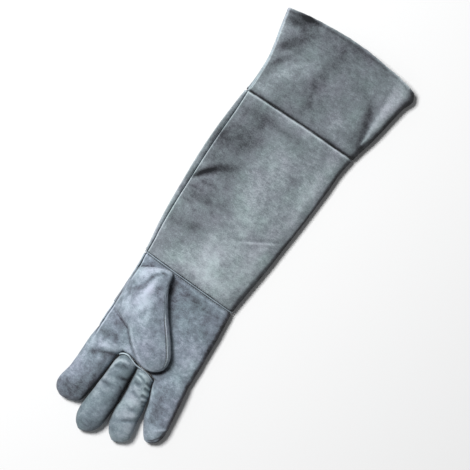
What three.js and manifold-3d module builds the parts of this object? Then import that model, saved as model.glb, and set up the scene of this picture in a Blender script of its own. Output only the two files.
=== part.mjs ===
// A long animal handling gauntlet in grey split leather, for the right hand, lying palm up.
//
// The gauntlet is a flattened leather tube. A flared cuff, a forearm sleeve and a hand are sewn end to end.
// The palm, the index finger and the little finger are one shell, and the middle and ring fingers are set in.
// The thumb is sewn in at the side and lies folded over the palm. Strips of leather (welts) are sewn into
// the side seam, the wrist seam and the seam at the finger bases.
//
// Lengths are millimetres and +Z is up. Tables give each section in pattern coordinates: x runs from the
// thumb side to the little finger side, y from the fingertips to the cuff. ORIGIN is the pattern point
// that becomes the middle of the finished gauntlet's underside.

import * as THREE from "three";
import { mergeVertices } from "three/addons/utils/BufferGeometryUtils.js";
import Module from "manifold-3d";

const wasm = await Module();
wasm.setup();

// Driving dimensions
const ORIGIN = { x: 3.6, y: -95.3 };
const WALL = 2.4; // split leather with its bonded lining
const GAP = 0.3; // clearance between sewn pieces
const WELT = 1.8; // thickness of a welt
const BEAD = 0.9; // how far a welt stands out of its seam
const WELT_DEPTH = 6; // how far a welt reaches in behind the leather
const CUFF_SEAM_Y = 82;
const WRIST_SEAM_Y = -164;
const WRIST_TILT = -0.03; // slope of the wrist seam across the width
const KNUCKLE_SEAM_Y = -287;
const KNUCKLE_TILT = -0.15; // slope of the finger bases across the width
const OVERRUN = 3; // how far a hollow is cut past an open end

// How a tube's section is rounded: the heights of its left and right edges, how full its shoulders are
// (0.5 is a round fold, 1 a flat wedge), how broad its crown is, and the underside's edge radii. The last
// three give how finely it is drawn: steps over the top, steps underneath, and the spacing of sections.
const TUBE = {
  leftEdge: () => 4.6,
  rightEdge: () => 9,
  leftPower: 0.72,
  rightPower: 0.5,
  crown: 2.7,
  leftRound: 8,
  rightRound: 10,
  topSteps: 22,
  underSteps: 8,
  spacing: 17,
};
const FINGER = {
  leftEdge: (top) => 0.42 * top,
  rightEdge: (top) => 0.42 * top,
  leftPower: 0.5,
  rightPower: 0.5,
  crown: 2.3,
  leftRound: 9,
  rightRound: 9,
  topSteps: 12,
  underSteps: 8,
  spacing: 40,
};
const EDGE_CROWDING = 0.6; // how strongly the steps crowd together towards the edges

// Sections of the flared cuff, from the cuff seam to the hem. bow is how far the hem's middle stands out.
const CUFF = [
  { y: CUFF_SEAM_Y + GAP / 2, left: -83.0, right: 81.0, top: 26, tilt: 0, bow: 0 },
  { y: 96, left: -81.5, right: 84.2, top: 27, tilt: 0, bow: 0 },
  { y: 112, left: -81.3, right: 88.2, top: 28, tilt: 0, bow: 0 },
  { y: 132, left: -82.3, right: 92.0, top: 29, tilt: 0, bow: 0 },
  { y: 152, left: -86.0, right: 95.0, top: 30, tilt: 0, bow: 1 },
  { y: 172, left: -90.8, right: 98.6, top: 31, tilt: 0, bow: 4 },
  { y: 187, left: -94.0, right: 103.5, top: 32, tilt: -0.005, bow: 7 },
  { y: 198, left: -96.4, right: 99.0, top: 32, tilt: -0.01, bow: 9 },
];

// Sections of the forearm sleeve, from the wrist seam to the cuff seam.
const SLEEVE = [
  { y: WRIST_SEAM_Y + WELT / 2 + GAP, left: -74.3, right: 62.4, top: 24, tilt: WRIST_TILT },
  { y: -150, left: -75.8, right: 63.8, top: 25, tilt: -0.01 },
  { y: -122, left: -79.8, right: 66.8, top: 26, tilt: 0 },
  { y: -92, left: -83.0, right: 69.8, top: 27, tilt: 0 },
  { y: -60, left: -85.0, right: 72.0, top: 27, tilt: 0 },
  { y: -30, left: -86.8, right: 74.4, top: 26, tilt: 0 },
  { y: 0, left: -87.4, right: 76.0, top: 26, tilt: 0 },
  { y: 28, left: -86.8, right: 77.4, top: 26, tilt: 0 },
  { y: 56, left: -85.2, right: 77.6, top: 26, tilt: 0 },
  { y: CUFF_SEAM_Y - GAP / 2, left: -83.0, right: 81.0, top: 26, tilt: 0 },
];

// Sections of the palm and back, from the wrist seam to the finger bases.
const PALM = [
  { y: WRIST_SEAM_Y - WELT / 2 - GAP, left: -74.0, right: 62.4, top: 24, tilt: WRIST_TILT },
  { y: -182, left: -72.6, right: 64.2, top: 25, tilt: 0 },
  { y: -205, left: -71.8, right: 66.2, top: 26, tilt: 0 },
  { y: -230, left: -71.0, right: 67.8, top: 26, tilt: 0 },
  { y: -252, left: -70.8, right: 69.2, top: 26, tilt: -0.03 },
  { y: -272, left: -71.2, right: 70.2, top: 25, tilt: -0.09 },
  { y: KNUCKLE_SEAM_Y + WELT / 2 + GAP, left: -70.2, right: 69.8, top: 23, tilt: KNUCKLE_TILT },
];

// Sections of each finger, from inside the palm or from the finger base to the tip.
const INDEX = [
  { y: -258, left: -64.0, right: -32.0, top: 19, tilt: 0 },
  { y: -276, left: -70.4, right: -27.8, top: 24, tilt: 0 },
  { y: -292, left: -71.3, right: -29.4, top: 25.5, tilt: 0 },
  { y: -318, left: -71.2, right: -30.6, top: 25, tilt: 0 },
  { y: -338, left: -71.8, right: -31.8, top: 25, tilt: 0 },
  { y: -350, left: -74.4, right: -32.6, top: 25, tilt: 0 },
  { y: -360, left: -75.0, right: -33.6, top: 23, tilt: 0 },
  { y: -367, left: -72.6, right: -36.2, top: 20, tilt: 0 },
  { y: -371.5, left: -69.0, right: -42.4, top: 16, tilt: 0 },
  { y: -374.5, left: -64.2, right: -51.6, top: 12, tilt: 0 },
];
const MIDDLE = [
  { y: KNUCKLE_SEAM_Y - WELT / 2 - GAP, left: -25.8, right: 0.4, top: 21.5, tilt: KNUCKLE_TILT },
  { y: -299, left: -28.4, right: 1.4, top: 24, tilt: 0 },
  { y: -320, left: -29.4, right: 3.8, top: 24, tilt: 0 },
  { y: -345, left: -30.8, right: 5.3, top: 24, tilt: 0 },
  { y: -368, left: -32.0, right: 5.1, top: 24, tilt: 0 },
  { y: -380, left: -31.2, right: 3.9, top: 22, tilt: 0 },
  { y: -388, left: -28.6, right: 0.4, top: 19, tilt: 0 },
  { y: -393.6, left: -24.6, right: -5.2, top: 15, tilt: 0 },
  { y: -396.8, left: -20.2, right: -11.4, top: 12, tilt: 0 },
];
const RING = [
  { y: KNUCKLE_SEAM_Y - WELT / 2 - GAP, left: 2.0, right: 25.0, top: 21.5, tilt: KNUCKLE_TILT },
  { y: -301, left: 2.7, right: 29.4, top: 23, tilt: -0.05 },
  { y: -315, left: 4.3, right: 34.8, top: 23, tilt: 0 },
  { y: -335, left: 6.1, right: 38.8, top: 23, tilt: 0 },
  { y: -350, left: 6.7, right: 40.0, top: 23, tilt: 0 },
  { y: -364, left: 8.8, right: 43.4, top: 22, tilt: 0 },
  { y: -373, left: 12.0, right: 43.6, top: 20, tilt: 0 },
  { y: -380.5, left: 17.2, right: 39.2, top: 16, tilt: 0 },
  { y: -385.4, left: 23.8, right: 32.0, top: 12, tilt: 0 },
];
const LITTLE = [
  { y: -258, left: 33.0, right: 63.0, top: 19, tilt: 0 },
  { y: -278, left: 27.4, right: 70.2, top: 23.5, tilt: 0 },
  { y: -294, left: 28.6, right: 72.6, top: 24.5, tilt: 0 },
  { y: -308, left: 33.4, right: 74.6, top: 24, tilt: 0 },
  { y: -322, left: 38.8, right: 76.6, top: 23, tilt: 0 },
  { y: -338, left: 43.2, right: 78.4, top: 22, tilt: 0 },
  { y: -348, left: 48.2, right: 78.6, top: 20.5, tilt: 0 },
  { y: -357, left: 54.0, right: 75.2, top: 16, tilt: 0 },
  { y: -362.6, left: 59.2, right: 68.4, top: 12, tilt: 0 },
];

// Opening from the palm's hollow into the two fingers that are set in.
const FINGER_GATE = [
  { y: -276, left: -23.0, right: 23.0, top: 21.5, tilt: KNUCKLE_TILT },
  { y: KNUCKLE_SEAM_Y - OVERRUN, left: -23.0, right: 23.0, top: 21.5, tilt: KNUCKLE_TILT },
];

// The knuckle welt spans the bases of both set-in fingers.
const KNUCKLE_WELT = [
  { y: KNUCKLE_SEAM_Y + WELT / 2, left: -25.6, right: 25.0, top: 22.4, tilt: KNUCKLE_TILT },
  { y: KNUCKLE_SEAM_Y - WELT / 2, left: -25.6, right: 25.0, top: 22.4, tilt: KNUCKLE_TILT },
];

// Sections of the thumb, from the side seam, over the palm, to the tip. (lx, ly) is the edge nearer the
// index finger and (rx, ry) the edge nearer the wrist. thick is the thumb's height above the palm, and
// sink is how far its underside reaches down into the palm, which opens the thumb to the hand.
const THUMB = [
  { lx: -69.2, ly: -240, rx: -69.2, ry: -184, thick: 8, sink: 2 },
  { lx: -62.5, ly: -244, rx: -56.0, ry: -175, thick: 14, sink: 12 },
  { lx: -54.0, ly: -247, rx: -42.0, ry: -168.5, thick: 19, sink: 13 },
  { lx: -46.0, ly: -250, rx: -28.0, ry: -166.5, thick: 21, sink: 10 },
  { lx: -38.0, ly: -253, rx: -22.6, ry: -181, thick: 22, sink: 0 },
  { lx: -29.0, ly: -260.5, rx: -13.0, ry: -198, thick: 22, sink: 0 },
  { lx: -19.5, ly: -269.5, rx: 0.0, ry: -216, thick: 22, sink: 0 },
  { lx: -10.5, ly: -277.5, rx: 11.5, ry: -230, thick: 21.5, sink: 0 },
  { lx: -1.0, ly: -284, rx: 22.0, ry: -244, thick: 20, sink: 0 },
  { lx: 9.0, ly: -287.4, rx: 29.4, ry: -256, thick: 17, sink: 0 },
  { lx: 18.5, ly: -286.2, rx: 32.0, ry: -266, thick: 13, sink: 0 },
  { lx: 25.5, ly: -281.8, rx: 31.2, ry: -273, thick: 9, sink: 0 },
];
const THUMB_CLEARANCE = 0.6; // between the thumb's underside and the palm
const THUMB_CROWN = 2.4; // how broad the thumb's top is
const THUMB_BELLY = 5; // how broad the flat side that lies on the palm is
const THUMB_SEAT_LIMIT = -268; // past this y the thumb stays level instead of following the palm down
const THUMB_SEAM_INSET = 4.5; // how far its seam lies in from its right edge
const THUMB_STEPS = 12;

// Folds and dents pressed into the top leather: centre, direction of the long axis in degrees from +x,
// length and width of the soft hollow, and its depth (a ridge has a negative depth).
const FOLDS = [
  { name: "cuff fold valley", x: 71, y: 128, turn: 108, length: 62, width: 15, depth: 3.8 },
  { name: "cuff fold ridge", x: 87, y: 156, turn: 80, length: 74, width: 15, depth: -4.0 },
  { name: "cuff middle hollow", x: -8, y: 128, turn: 95, length: 62, width: 22, depth: 2.2 },
  { name: "cuff thumb-side hollow", x: -68, y: 154, turn: 30, length: 40, width: 18, depth: 2.6 },
  { name: "sleeve pinch", x: -58, y: -34, turn: 36, length: 44, width: 10, depth: 3.2 },
  { name: "sleeve thumb-side hollow", x: -52, y: 12, turn: 20, length: 52, width: 24, depth: 2.2 },
  { name: "sleeve cross crease", x: 46, y: -68, turn: 27, length: 60, width: 9, depth: 1.2 },
  { name: "palm hollow", x: -50, y: -268, turn: 10, length: 34, width: 18, depth: 1.6 },
];
const THUMB_FOLDS = [
  { name: "thumb root valley", x: -47, y: -192, turn: 57, length: 40, width: 7, depth: 3.0 },
  { name: "thumb root ridge", x: -58, y: -190, turn: 52, length: 34, width: 8, depth: -1.6 },
  { name: "thumb side valley", x: -20, y: -214, turn: 112, length: 46, width: 8, depth: 1.6 },
];

// How far the side seam runs in from the thumb-side outline, at each y.
const SIDE_SEAM = [
  { y: 203, inset: 1.6 },
  { y: 150, inset: 1.8 },
  { y: 112, inset: 2.2 },
  { y: 82, inset: 3.6 },
  { y: 50, inset: 6.0 },
  { y: 10, inset: 7.0 },
  { y: -30, inset: 7.0 },
  { y: -70, inset: 6.0 },
  { y: -110, inset: 4.8 },
  { y: -145, inset: 3.8 },
  { y: -164, inset: 3.0 },
  { y: -200, inset: 2.2 },
  { y: -240, inset: 1.8 },
  { y: -284, inset: 1.6 },
];
const SIDE_SEAM_STEPS = 46;

// Colours follow the dyed split leather
const LEATHER = new THREE.MeshStandardMaterial({ color: 0x7d868d, roughness: 0.95, metalness: 0 });
const SLEEVE_LEATHER = new THREE.MeshStandardMaterial({ color: 0x7f888d, roughness: 0.95, metalness: 0 });
const FINGER_LEATHER = new THREE.MeshStandardMaterial({ color: 0x77858a, roughness: 0.85, metalness: 0 });
const WELT_LEATHER = new THREE.MeshStandardMaterial({ color: 0x8c959b, roughness: 0.9, metalness: 0 });

// Table lookups

function between(a, b, share) {
  return a + (b - a) * share;
}

// A table's row at y. Each column runs smoothly through the rows of the table.
function rowAt(rows, y) {
  const order = [...rows].sort((a, b) => a.y - b.y);
  const last = order.length - 1;
  const high = y >= order[last].y ? last : Math.max(1, order.findIndex((row) => row.y >= y));
  const low = high - 1;
  const span = order[high].y - order[low].y;
  const s = THREE.MathUtils.clamp((y - order[low].y) / span, 0, 1);
  const row = { y };
  for (const column of Object.keys(order[0]).filter((name) => name !== "y")) {
    const slope = (i) => {
      const [a, b] = [order[Math.max(0, i - 1)], order[Math.min(last, i + 1)]];
      return (b[column] - a[column]) / (b.y - a.y);
    };
    row[column] =
      order[low][column] * (1 + 2 * s) * (1 - s) ** 2 +
      order[high][column] * s * s * (3 - 2 * s) +
      slope(low) * span * s * (1 - s) ** 2 -
      slope(high) * span * s * s * (1 - s);
  }
  return row;
}

// A table's rows with more rows worked out between those that lie far apart.
function fineRows(rows, spacing) {
  const fine = [rows[0]];
  for (let i = 1; i < rows.length; i++) {
    const parts = Math.ceil(Math.abs(rows[i].y - rows[i - 1].y) / spacing);
    for (let k = 1; k < parts; k++) fine.push(rowAt(rows, between(rows[i - 1].y, rows[i].y, k / parts)));
    fine.push(rows[i]);
  }
  return fine;
}

// How far the folds press the leather down at a point of the pattern.
function foldDepth(folds, x, y) {
  let depth = 0;
  for (const fold of folds) {
    const turn = THREE.MathUtils.degToRad(fold.turn);
    const along = (x - fold.x) * Math.cos(turn) + (y - fold.y) * Math.sin(turn);
    const across = (y - fold.y) * Math.cos(turn) - (x - fold.x) * Math.sin(turn);
    const distance = Math.hypot(along / (0.5 * fold.length), across / (0.5 * fold.width));
    depth += fold.depth * Math.exp(-(distance ** 2));
  }
  return depth;
}

// Sections of the tubes that lie on the ground

// Height of the top leather at x, on the outside (inset 0) or further in.
function topHeight(row, style, x, inset = 0) {
  const left = row.left + inset;
  const right = row.right - inset;
  const t = THREE.MathUtils.clamp((x - left) / (right - left), 0, 1);
  const edge = between(style.leftEdge(row.top), style.rightEdge(row.top), t);
  const power = between(style.leftPower, style.rightPower, t * t * (3 - 2 * t));
  const fullness = (1 - Math.abs(2 * t - 1) ** style.crown) ** power;
  return edge + (row.top - inset - edge - foldDepth(FOLDS, x, row.y)) * fullness;
}

// Height of the leather that lies on the ground: flat, and rounded up at both edges.
function undersideHeight(row, style, x, inset = 0) {
  const left = row.left + inset;
  const right = row.right - inset;
  const t = THREE.MathUtils.clamp((x - left) / (right - left), 0, 1);
  const edge = between(style.leftEdge(row.top), style.rightEdge(row.top), t);
  const reach = Math.min((x - left) / style.leftRound, (right - x) / style.rightRound);
  const u = THREE.MathUtils.clamp(reach, 0, 1);
  return inset + (edge - inset) * (1 - Math.sqrt(1 - (1 - u) ** 2));
}

// Where the steps across a section fall, as a share of its width.
function spread(share) {
  return between(share, 0.5 - 0.5 * Math.cos(Math.PI * share), EDGE_CROWDING);
}

// One closed loop of points round a section: over the top from left to right, and back underneath.
function sectionLoop(row, style, inset = 0) {
  const left = row.left + inset;
  const right = row.right - inset;
  const middle = (left + right) / 2;
  const point = (share, height) => {
    const x = between(left, right, spread(share));
    const offCentre = (x - middle) / (right - middle);
    const y = row.y + row.tilt * x + (row.bow ?? 0) * (1 - offCentre ** 2);
    return new THREE.Vector3(x, y, height(row, style, x, inset));
  };
  const loop = [];
  for (let i = 0; i <= style.topSteps; i++) loop.push(point(i / style.topSteps, topHeight));
  for (let i = style.underSteps - 1; i > 0; i--) loop.push(point(i / style.underSteps, undersideHeight));
  return loop;
}

// A closed surface through loops of equal length, capped at both ends.
function loft(loops) {
  const size = loops[0].length;
  const centre = (loop) => loop.reduce((sum, p) => sum.add(p), new THREE.Vector3()).divideScalar(size);
  const points = [...loops.flat(), centre(loops[0]), centre(loops[loops.length - 1])];
  const [firstCap, lastCap] = [points.length - 2, points.length - 1];
  const faces = [];
  for (let i = 0; i < size; i++) {
    const j = (i + 1) % size;
    for (let k = 0; k < loops.length - 1; k++) {
      const [a, b, c, d] = [k * size + i, k * size + j, (k + 1) * size + i, (k + 1) * size + j];
      faces.push([a, b, c], [b, d, c]);
    }
    const last = (loops.length - 1) * size;
    faces.push([firstCap, j, i], [lastCap, last + i, last + j]);
  }
  const volume = faces.reduce((sum, [a, b, c]) => {
    return sum + points[a].dot(new THREE.Vector3().crossVectors(points[b], points[c]));
  }, 0);
  if (volume < 0) faces.forEach((face) => face.reverse());
  const geometry = new THREE.BufferGeometry().setFromPoints(points);
  geometry.setIndex(faces.flat());
  return geometry;
}

// A solid that can be joined and cut, from a closed geometry.
function solid(geometry) {
  const merged = mergeVertices(geometry, 1e-4);
  return new wasm.Manifold(
    new wasm.Mesh({
      numProp: 3,
      vertProperties: merged.attributes.position.array,
      triVerts: new Uint32Array(merged.index.array),
    }),
  );
}

function tubeSolid(rows, style, inset = 0) {
  return solid(loft(fineRows(rows, style.spacing).map((row) => sectionLoop(row, style, inset))));
}

// Rows whose first or last section is carried on past the end, so that a hollow cuts right through.
function overrun(rows, { first = false, last = false }) {
  const longer = [...rows];
  const outward = Math.sign(rows[rows.length - 1].y - rows[0].y);
  if (first) longer.unshift({ ...rows[0], y: rows[0].y - outward * OVERRUN });
  if (last) longer.push({ ...rows[rows.length - 1], y: rows[rows.length - 1].y + outward * OVERRUN });
  return longer;
}

// The hollow of a finger stops a wall's thickness short of the tip.
function fingerHollow(rows, openBase) {
  const inner = openBase ? overrun(rows, { first: true }) : rows;
  return tubeSolid(inner.slice(0, -1), FINGER, WALL);
}

// Welts

// A strip that stands square to the leather. Each stop gives a point of the seam, the direction out of
// the leather and the direction across the seam. extra grows the strip all round, to cut its slot.
function weltStrip(stops, extra) {
  const loops = stops.map(({ seam, out, across }) => {
    const outer = seam.clone().addScaledVector(out, BEAD + extra);
    const inner = seam.clone().addScaledVector(out, -WELT_DEPTH - extra);
    const side = across.clone().multiplyScalar(WELT / 2 + extra);
    return [
      outer.clone().add(side),
      outer.clone().sub(side),
      inner.clone().sub(side),
      inner.clone().add(side),
    ];
  });
  return solid(loft(loops));
}

// A flat ring sewn in between two sections. It stands out of the leather, except on the ground.
function weltRing(rows, style) {
  const onGround = (loop) => loop.map((p) => p.setZ(Math.max(p.z, 0)));
  const outer = solid(loft(rows.map((row) => onGround(sectionLoop(row, style, -BEAD)))));
  return outer.subtract(tubeSolid(overrun(rows, { first: true, last: true }), style, WALL));
}

// Which table gives the outline at y.
function outlineRow(y) {
  const rows = y > CUFF_SEAM_Y ? CUFF : y > WRIST_SEAM_Y ? SLEEVE : PALM;
  return rowAt(rows, y);
}

// The side seam's welt runs all along the thumb side, from the hem to the index finger.
function sideWelt(extra) {
  const stops = [];
  for (let i = 0; i <= SIDE_SEAM_STEPS; i++) {
    const first = SIDE_SEAM[0].y + (extra > 0 ? OVERRUN : 0);
    const last = SIDE_SEAM[SIDE_SEAM.length - 1].y;
    const y = between(first, last, i / SIDE_SEAM_STEPS);
    const row = outlineRow(y);
    const x = row.left + rowAt(SIDE_SEAM, y).inset;
    const rise = topHeight(row, TUBE, x + 0.5) - topHeight(row, TUBE, x - 0.5);
    const out = new THREE.Vector3(-rise, 0, 1).normalize();
    stops.push({
      seam: new THREE.Vector3(x, y, topHeight(row, TUBE, x)),
      out,
      across: new THREE.Vector3(-out.z, 0, out.x),
    });
  }
  return weltStrip(stops, extra);
}

// The thumb, which lies on the palm

// A point of the thumb's surface, along mm from its left edge, on top or underneath.
function thumbPoint(row, along, inset, onTop) {
  const width = Math.hypot(row.rx - row.lx, row.ry - row.ly);
  const x = between(row.lx, row.rx, along / width);
  const y = between(row.ly, row.ry, along / width);
  const seat = topHeight(rowAt(PALM, Math.max(y, THUMB_SEAT_LIMIT)), TUBE, x) + THUMB_CLEARANCE;
  const low = seat - row.sink + inset;
  const high = seat + row.thick - inset;
  const edge = between(low, high, 0.42);
  const offCentre = Math.min(1, Math.abs((2 * along) / width - 1) / (1 - (2 * inset) / width));
  const rise = high - edge - foldDepth(THUMB_FOLDS, x, y);
  const crown = edge + rise * Math.sqrt(1 - offCentre ** THUMB_CROWN);
  const belly = edge - (edge - low) * Math.sqrt(1 - offCentre ** THUMB_BELLY);
  return new THREE.Vector3(x, y, onTop ? crown : belly);
}

// One closed loop round the thumb, square to its length.
function thumbLoop(row, inset) {
  const width = Math.hypot(row.rx - row.lx, row.ry - row.ly);
  const point = (share, onTop) => thumbPoint(row, between(inset, width - inset, spread(share)), inset, onTop);
  const loop = [];
  for (let i = 0; i <= THUMB_STEPS; i++) loop.push(point(i / THUMB_STEPS, true));
  for (let i = THUMB_STEPS - 1; i > 0; i--) loop.push(point(i / THUMB_STEPS, false));
  return loop;
}

// The thumb's welt runs along its right edge, from the wrist to the tip.
function thumbWelt(extra) {
  const stops = THUMB.slice(3, -1).map((row) => {
    const width = Math.hypot(row.rx - row.lx, row.ry - row.ly);
    const seam = thumbPoint(row, width - THUMB_SEAM_INSET, 0, true);
    const slope = thumbPoint(row, width - THUMB_SEAM_INSET - 1, 0, true).sub(seam).normalize();
    const run = new THREE.Vector3(row.ry - row.ly, row.lx - row.rx, 0).normalize();
    const out = new THREE.Vector3().crossVectors(run, slope).normalize();
    return { seam, out: out.z < 0 ? out.negate() : out, across: slope };
  });
  return weltStrip(stops, extra);
}

function thumbSolid(inset = 0) {
  const rows = inset > 0 ? THUMB.slice(1, -1) : THUMB;
  return solid(loft(rows.map((row) => thumbLoop(row, inset))));
}

// Assembly

const glove = new THREE.Group();

function add(name, piece, material) {
  const cut = piece.getMesh();
  const geometry = new THREE.BufferGeometry();
  geometry.setAttribute("position", new THREE.BufferAttribute(new Float32Array(cut.vertProperties), 3));
  geometry.setIndex(new THREE.BufferAttribute(new Uint32Array(cut.triVerts), 1));
  geometry.computeVertexNormals();
  const mesh = new THREE.Mesh(geometry, material);
  mesh.name = name;
  mesh.position.set(-ORIGIN.x, -ORIGIN.y, 0);
  glove.add(mesh);
}

const sideWeltSlot = sideWelt(GAP);
const wristWelt = weltRing(
  [WELT / 2, -WELT / 2].map((half) => ({ ...PALM[0], y: WRIST_SEAM_Y + half })),
  TUBE,
).subtract(sideWeltSlot);
const knuckleWelt = weltRing(KNUCKLE_WELT, FINGER);

const cuff = tubeSolid(CUFF, TUBE)
  .subtract(tubeSolid(overrun(CUFF, { first: true, last: true }), TUBE, WALL))
  .subtract(sideWeltSlot);
add("cuff_flare", cuff, SLEEVE_LEATHER);

const sleeve = tubeSolid(SLEEVE, TUBE)
  .subtract(tubeSolid(overrun(SLEEVE, { first: true, last: true }), TUBE, WALL))
  .subtract(sideWeltSlot);
add("forearm_sleeve", sleeve, SLEEVE_LEATHER);

const palmOuter = tubeSolid(PALM, TUBE);
const thumbHollow = thumbSolid(WALL);
const handHollow = tubeSolid(overrun(PALM.slice(0, -1), { first: true }), TUBE, WALL)
  .add(tubeSolid(FINGER_GATE, FINGER, WALL))
  .add(fingerHollow(INDEX, false))
  .add(fingerHollow(LITTLE, false))
  .add(thumbHollow);
const setInFingers = tubeSolid(MIDDLE, FINGER, -GAP).add(
  tubeSolid(RING, FINGER, -GAP),
);
const hand = palmOuter
  .add(tubeSolid(INDEX, FINGER))
  .add(tubeSolid(LITTLE, FINGER))
  .subtract(handHollow)
  .subtract(setInFingers)
  .subtract(sideWeltSlot);
add("hand_shell", hand, LEATHER);

for (const [name, rows] of Object.entries({ middle_finger: MIDDLE, ring_finger: RING })) {
  const finger = tubeSolid(rows, FINGER).subtract(fingerHollow(rows, true));
  add(name, finger, FINGER_LEATHER);
}

const handWithGap = tubeSolid(overrun(PALM, { first: true }), TUBE, -GAP)
  .add(tubeSolid(INDEX, FINGER, -GAP))
  .add(tubeSolid(LITTLE, FINGER, -GAP));
const thumb = thumbSolid()
  .subtract(thumbHollow)
  .subtract(handWithGap)
  .subtract(sideWeltSlot)
  .subtract(thumbWelt(GAP));
add("thumb", thumb, LEATHER);

add("side_welt", sideWelt(0), WELT_LEATHER);
add("wrist_welt", wristWelt, WELT_LEATHER);
add("knuckle_welt", knuckleWelt, WELT_LEATHER);
add("thumb_welt", thumbWelt(0), WELT_LEATHER);

export default glove;
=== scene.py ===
"""Visual model of a long animal handling gauntlet in grey split leather, lying palm up.

Shapes are worked out in pattern millimetres: x runs from the thumb side to the little finger side, y
from the fingertips to the cuff, z up. PatternFrame turns them into the row's metres.
"""

import logging
import math
from dataclasses import dataclass, field, fields
from enum import Enum

import bpy
import numpy as np
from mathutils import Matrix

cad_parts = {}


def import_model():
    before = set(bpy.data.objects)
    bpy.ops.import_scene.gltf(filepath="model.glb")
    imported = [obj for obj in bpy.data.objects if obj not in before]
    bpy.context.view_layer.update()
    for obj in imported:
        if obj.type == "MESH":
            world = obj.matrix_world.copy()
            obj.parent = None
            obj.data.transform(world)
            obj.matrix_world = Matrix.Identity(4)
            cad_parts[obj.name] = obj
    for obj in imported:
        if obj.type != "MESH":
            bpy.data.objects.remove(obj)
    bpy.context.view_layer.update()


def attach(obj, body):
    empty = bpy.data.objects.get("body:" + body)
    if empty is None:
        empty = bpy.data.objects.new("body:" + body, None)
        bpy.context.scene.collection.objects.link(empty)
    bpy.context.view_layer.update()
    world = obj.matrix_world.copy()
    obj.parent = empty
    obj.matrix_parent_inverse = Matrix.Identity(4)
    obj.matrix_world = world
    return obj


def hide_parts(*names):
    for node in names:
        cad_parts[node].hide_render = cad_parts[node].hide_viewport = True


log = logging.getLogger("gauntlet")

# Pattern millimetres. A tilt is how far a seam moves along y for each millimetre across.
WALL = 2.4
CUFF_Y = 82.0
WRIST_Y = -164.0
WRIST_TILT = -0.03
KNUCKLE_TILT = -0.15
LEAST_HEIGHT = 0.02


class Slot(Enum):
    """The record's material slots."""

    LEATHER = "leather"
    FINGER = "finger_leather"
    WELT = "welt_leather"


@dataclass(frozen=True)
class PatternFrame:
    """The pattern point that lies over the row's origin."""

    x: float = 3.6
    y: float = -95.3

    def to_metres(self, points: np.ndarray) -> np.ndarray:
        """Turns pattern points in millimetres into the row's metres.

        Args:
            points: array (n, 3) of pattern points.

        Returns:
            Array (n, 3) in metres.
        """
        return (points - np.array([self.x, self.y, 0.0])) / 1000.0

    def to_pattern(self, points: np.ndarray) -> np.ndarray:
        """Turns points in the row's metres into pattern millimetres."""
        return points * 1000.0 + np.array([self.x, self.y, 0.0])


FRAME = PatternFrame()


# Pattern tables


@dataclass(frozen=True)
class Section:
    """One cross-section of a leather tube: its edges, its height, and how its plane leans and bows."""

    y: float
    left: float
    right: float
    top: float
    tilt: float = 0.0
    bow: float = 0.0


@dataclass
class Sections:
    """Many sections at once. Each field is an array, and low is the height of the underside."""

    y: np.ndarray
    left: np.ndarray
    right: np.ndarray
    top: np.ndarray
    tilt: np.ndarray
    bow: np.ndarray
    low: np.ndarray | float = 0.0

    def column(self) -> "Sections":
        """The same sections with every array turned into a column."""
        arrays = {f.name: np.asarray(getattr(self, f.name), dtype=float) for f in fields(self)}
        return Sections(**{name: array.reshape(-1, 1) for name, array in arrays.items()})

    def set_in(self, x: np.ndarray) -> np.ndarray:
        """Where each point of a section lies along y, with the section's lean and bow."""
        off = (2 * x - self.left - self.right) / (self.right - self.left)
        return self.y + self.tilt * x + self.bow * (1 - off**2)


def smooth_table(keys: np.ndarray, values: np.ndarray, at: np.ndarray) -> np.ndarray:
    """Runs a smooth curve through a table's column.

    Args:
        keys: rising keys, shape (n,).
        values: the column, shape (n,).
        at: keys to look up, of any shape.

    Returns:
        The column at those keys, held level past both ends.
    """
    slopes = np.empty_like(values)
    slopes[1:-1] = (values[2:] - values[:-2]) / (keys[2:] - keys[:-2])
    slopes[0] = (values[1] - values[0]) / (keys[1] - keys[0])
    slopes[-1] = (values[-1] - values[-2]) / (keys[-1] - keys[-2])
    high = np.clip(np.searchsorted(keys, at), 1, len(keys) - 1)
    low = high - 1
    span = keys[high] - keys[low]
    s = np.clip((at - keys[low]) / span, 0.0, 1.0)
    return (
        values[low] * (1 + 2 * s) * (1 - s) ** 2
        + values[high] * s * s * (3 - 2 * s)
        + slopes[low] * span * s * (1 - s) ** 2
        - slopes[high] * span * s * s * (1 - s)
    )


def hump(away: np.ndarray, width: np.ndarray | float) -> np.ndarray:
    """A soft hump: 1 where away is 0, and falling off over the width."""
    return np.exp(-((away / width) ** 2))


class SectionTable:
    """A table of sections that can be read at any y."""

    def __init__(self, *rows: tuple[float, ...]) -> None:
        """Makes a section of each row, sorts them and keeps each column as an array.

        Args:
            rows: the fields of one section each, in any order along y.
        """
        order = sorted((Section(*row) for row in rows), key=lambda section: section.y)
        self.columns = {f.name: np.array([getattr(s, f.name) for s in order], dtype=float) for f in fields(Section)}
        self.tip_y = order[0].y
        self.tallest = max(section.top for section in order)

    def at(self, y: np.ndarray) -> Sections:
        """Reads every column at y, an array of any shape.

        Args:
            y: positions along the tube.

        Returns:
            The sections there.
        """
        y = np.asarray(y, dtype=float)
        keys = self.columns["y"]
        return Sections(y=y, **{n: smooth_table(keys, c, y) for n, c in self.columns.items() if n != "y"})


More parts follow.
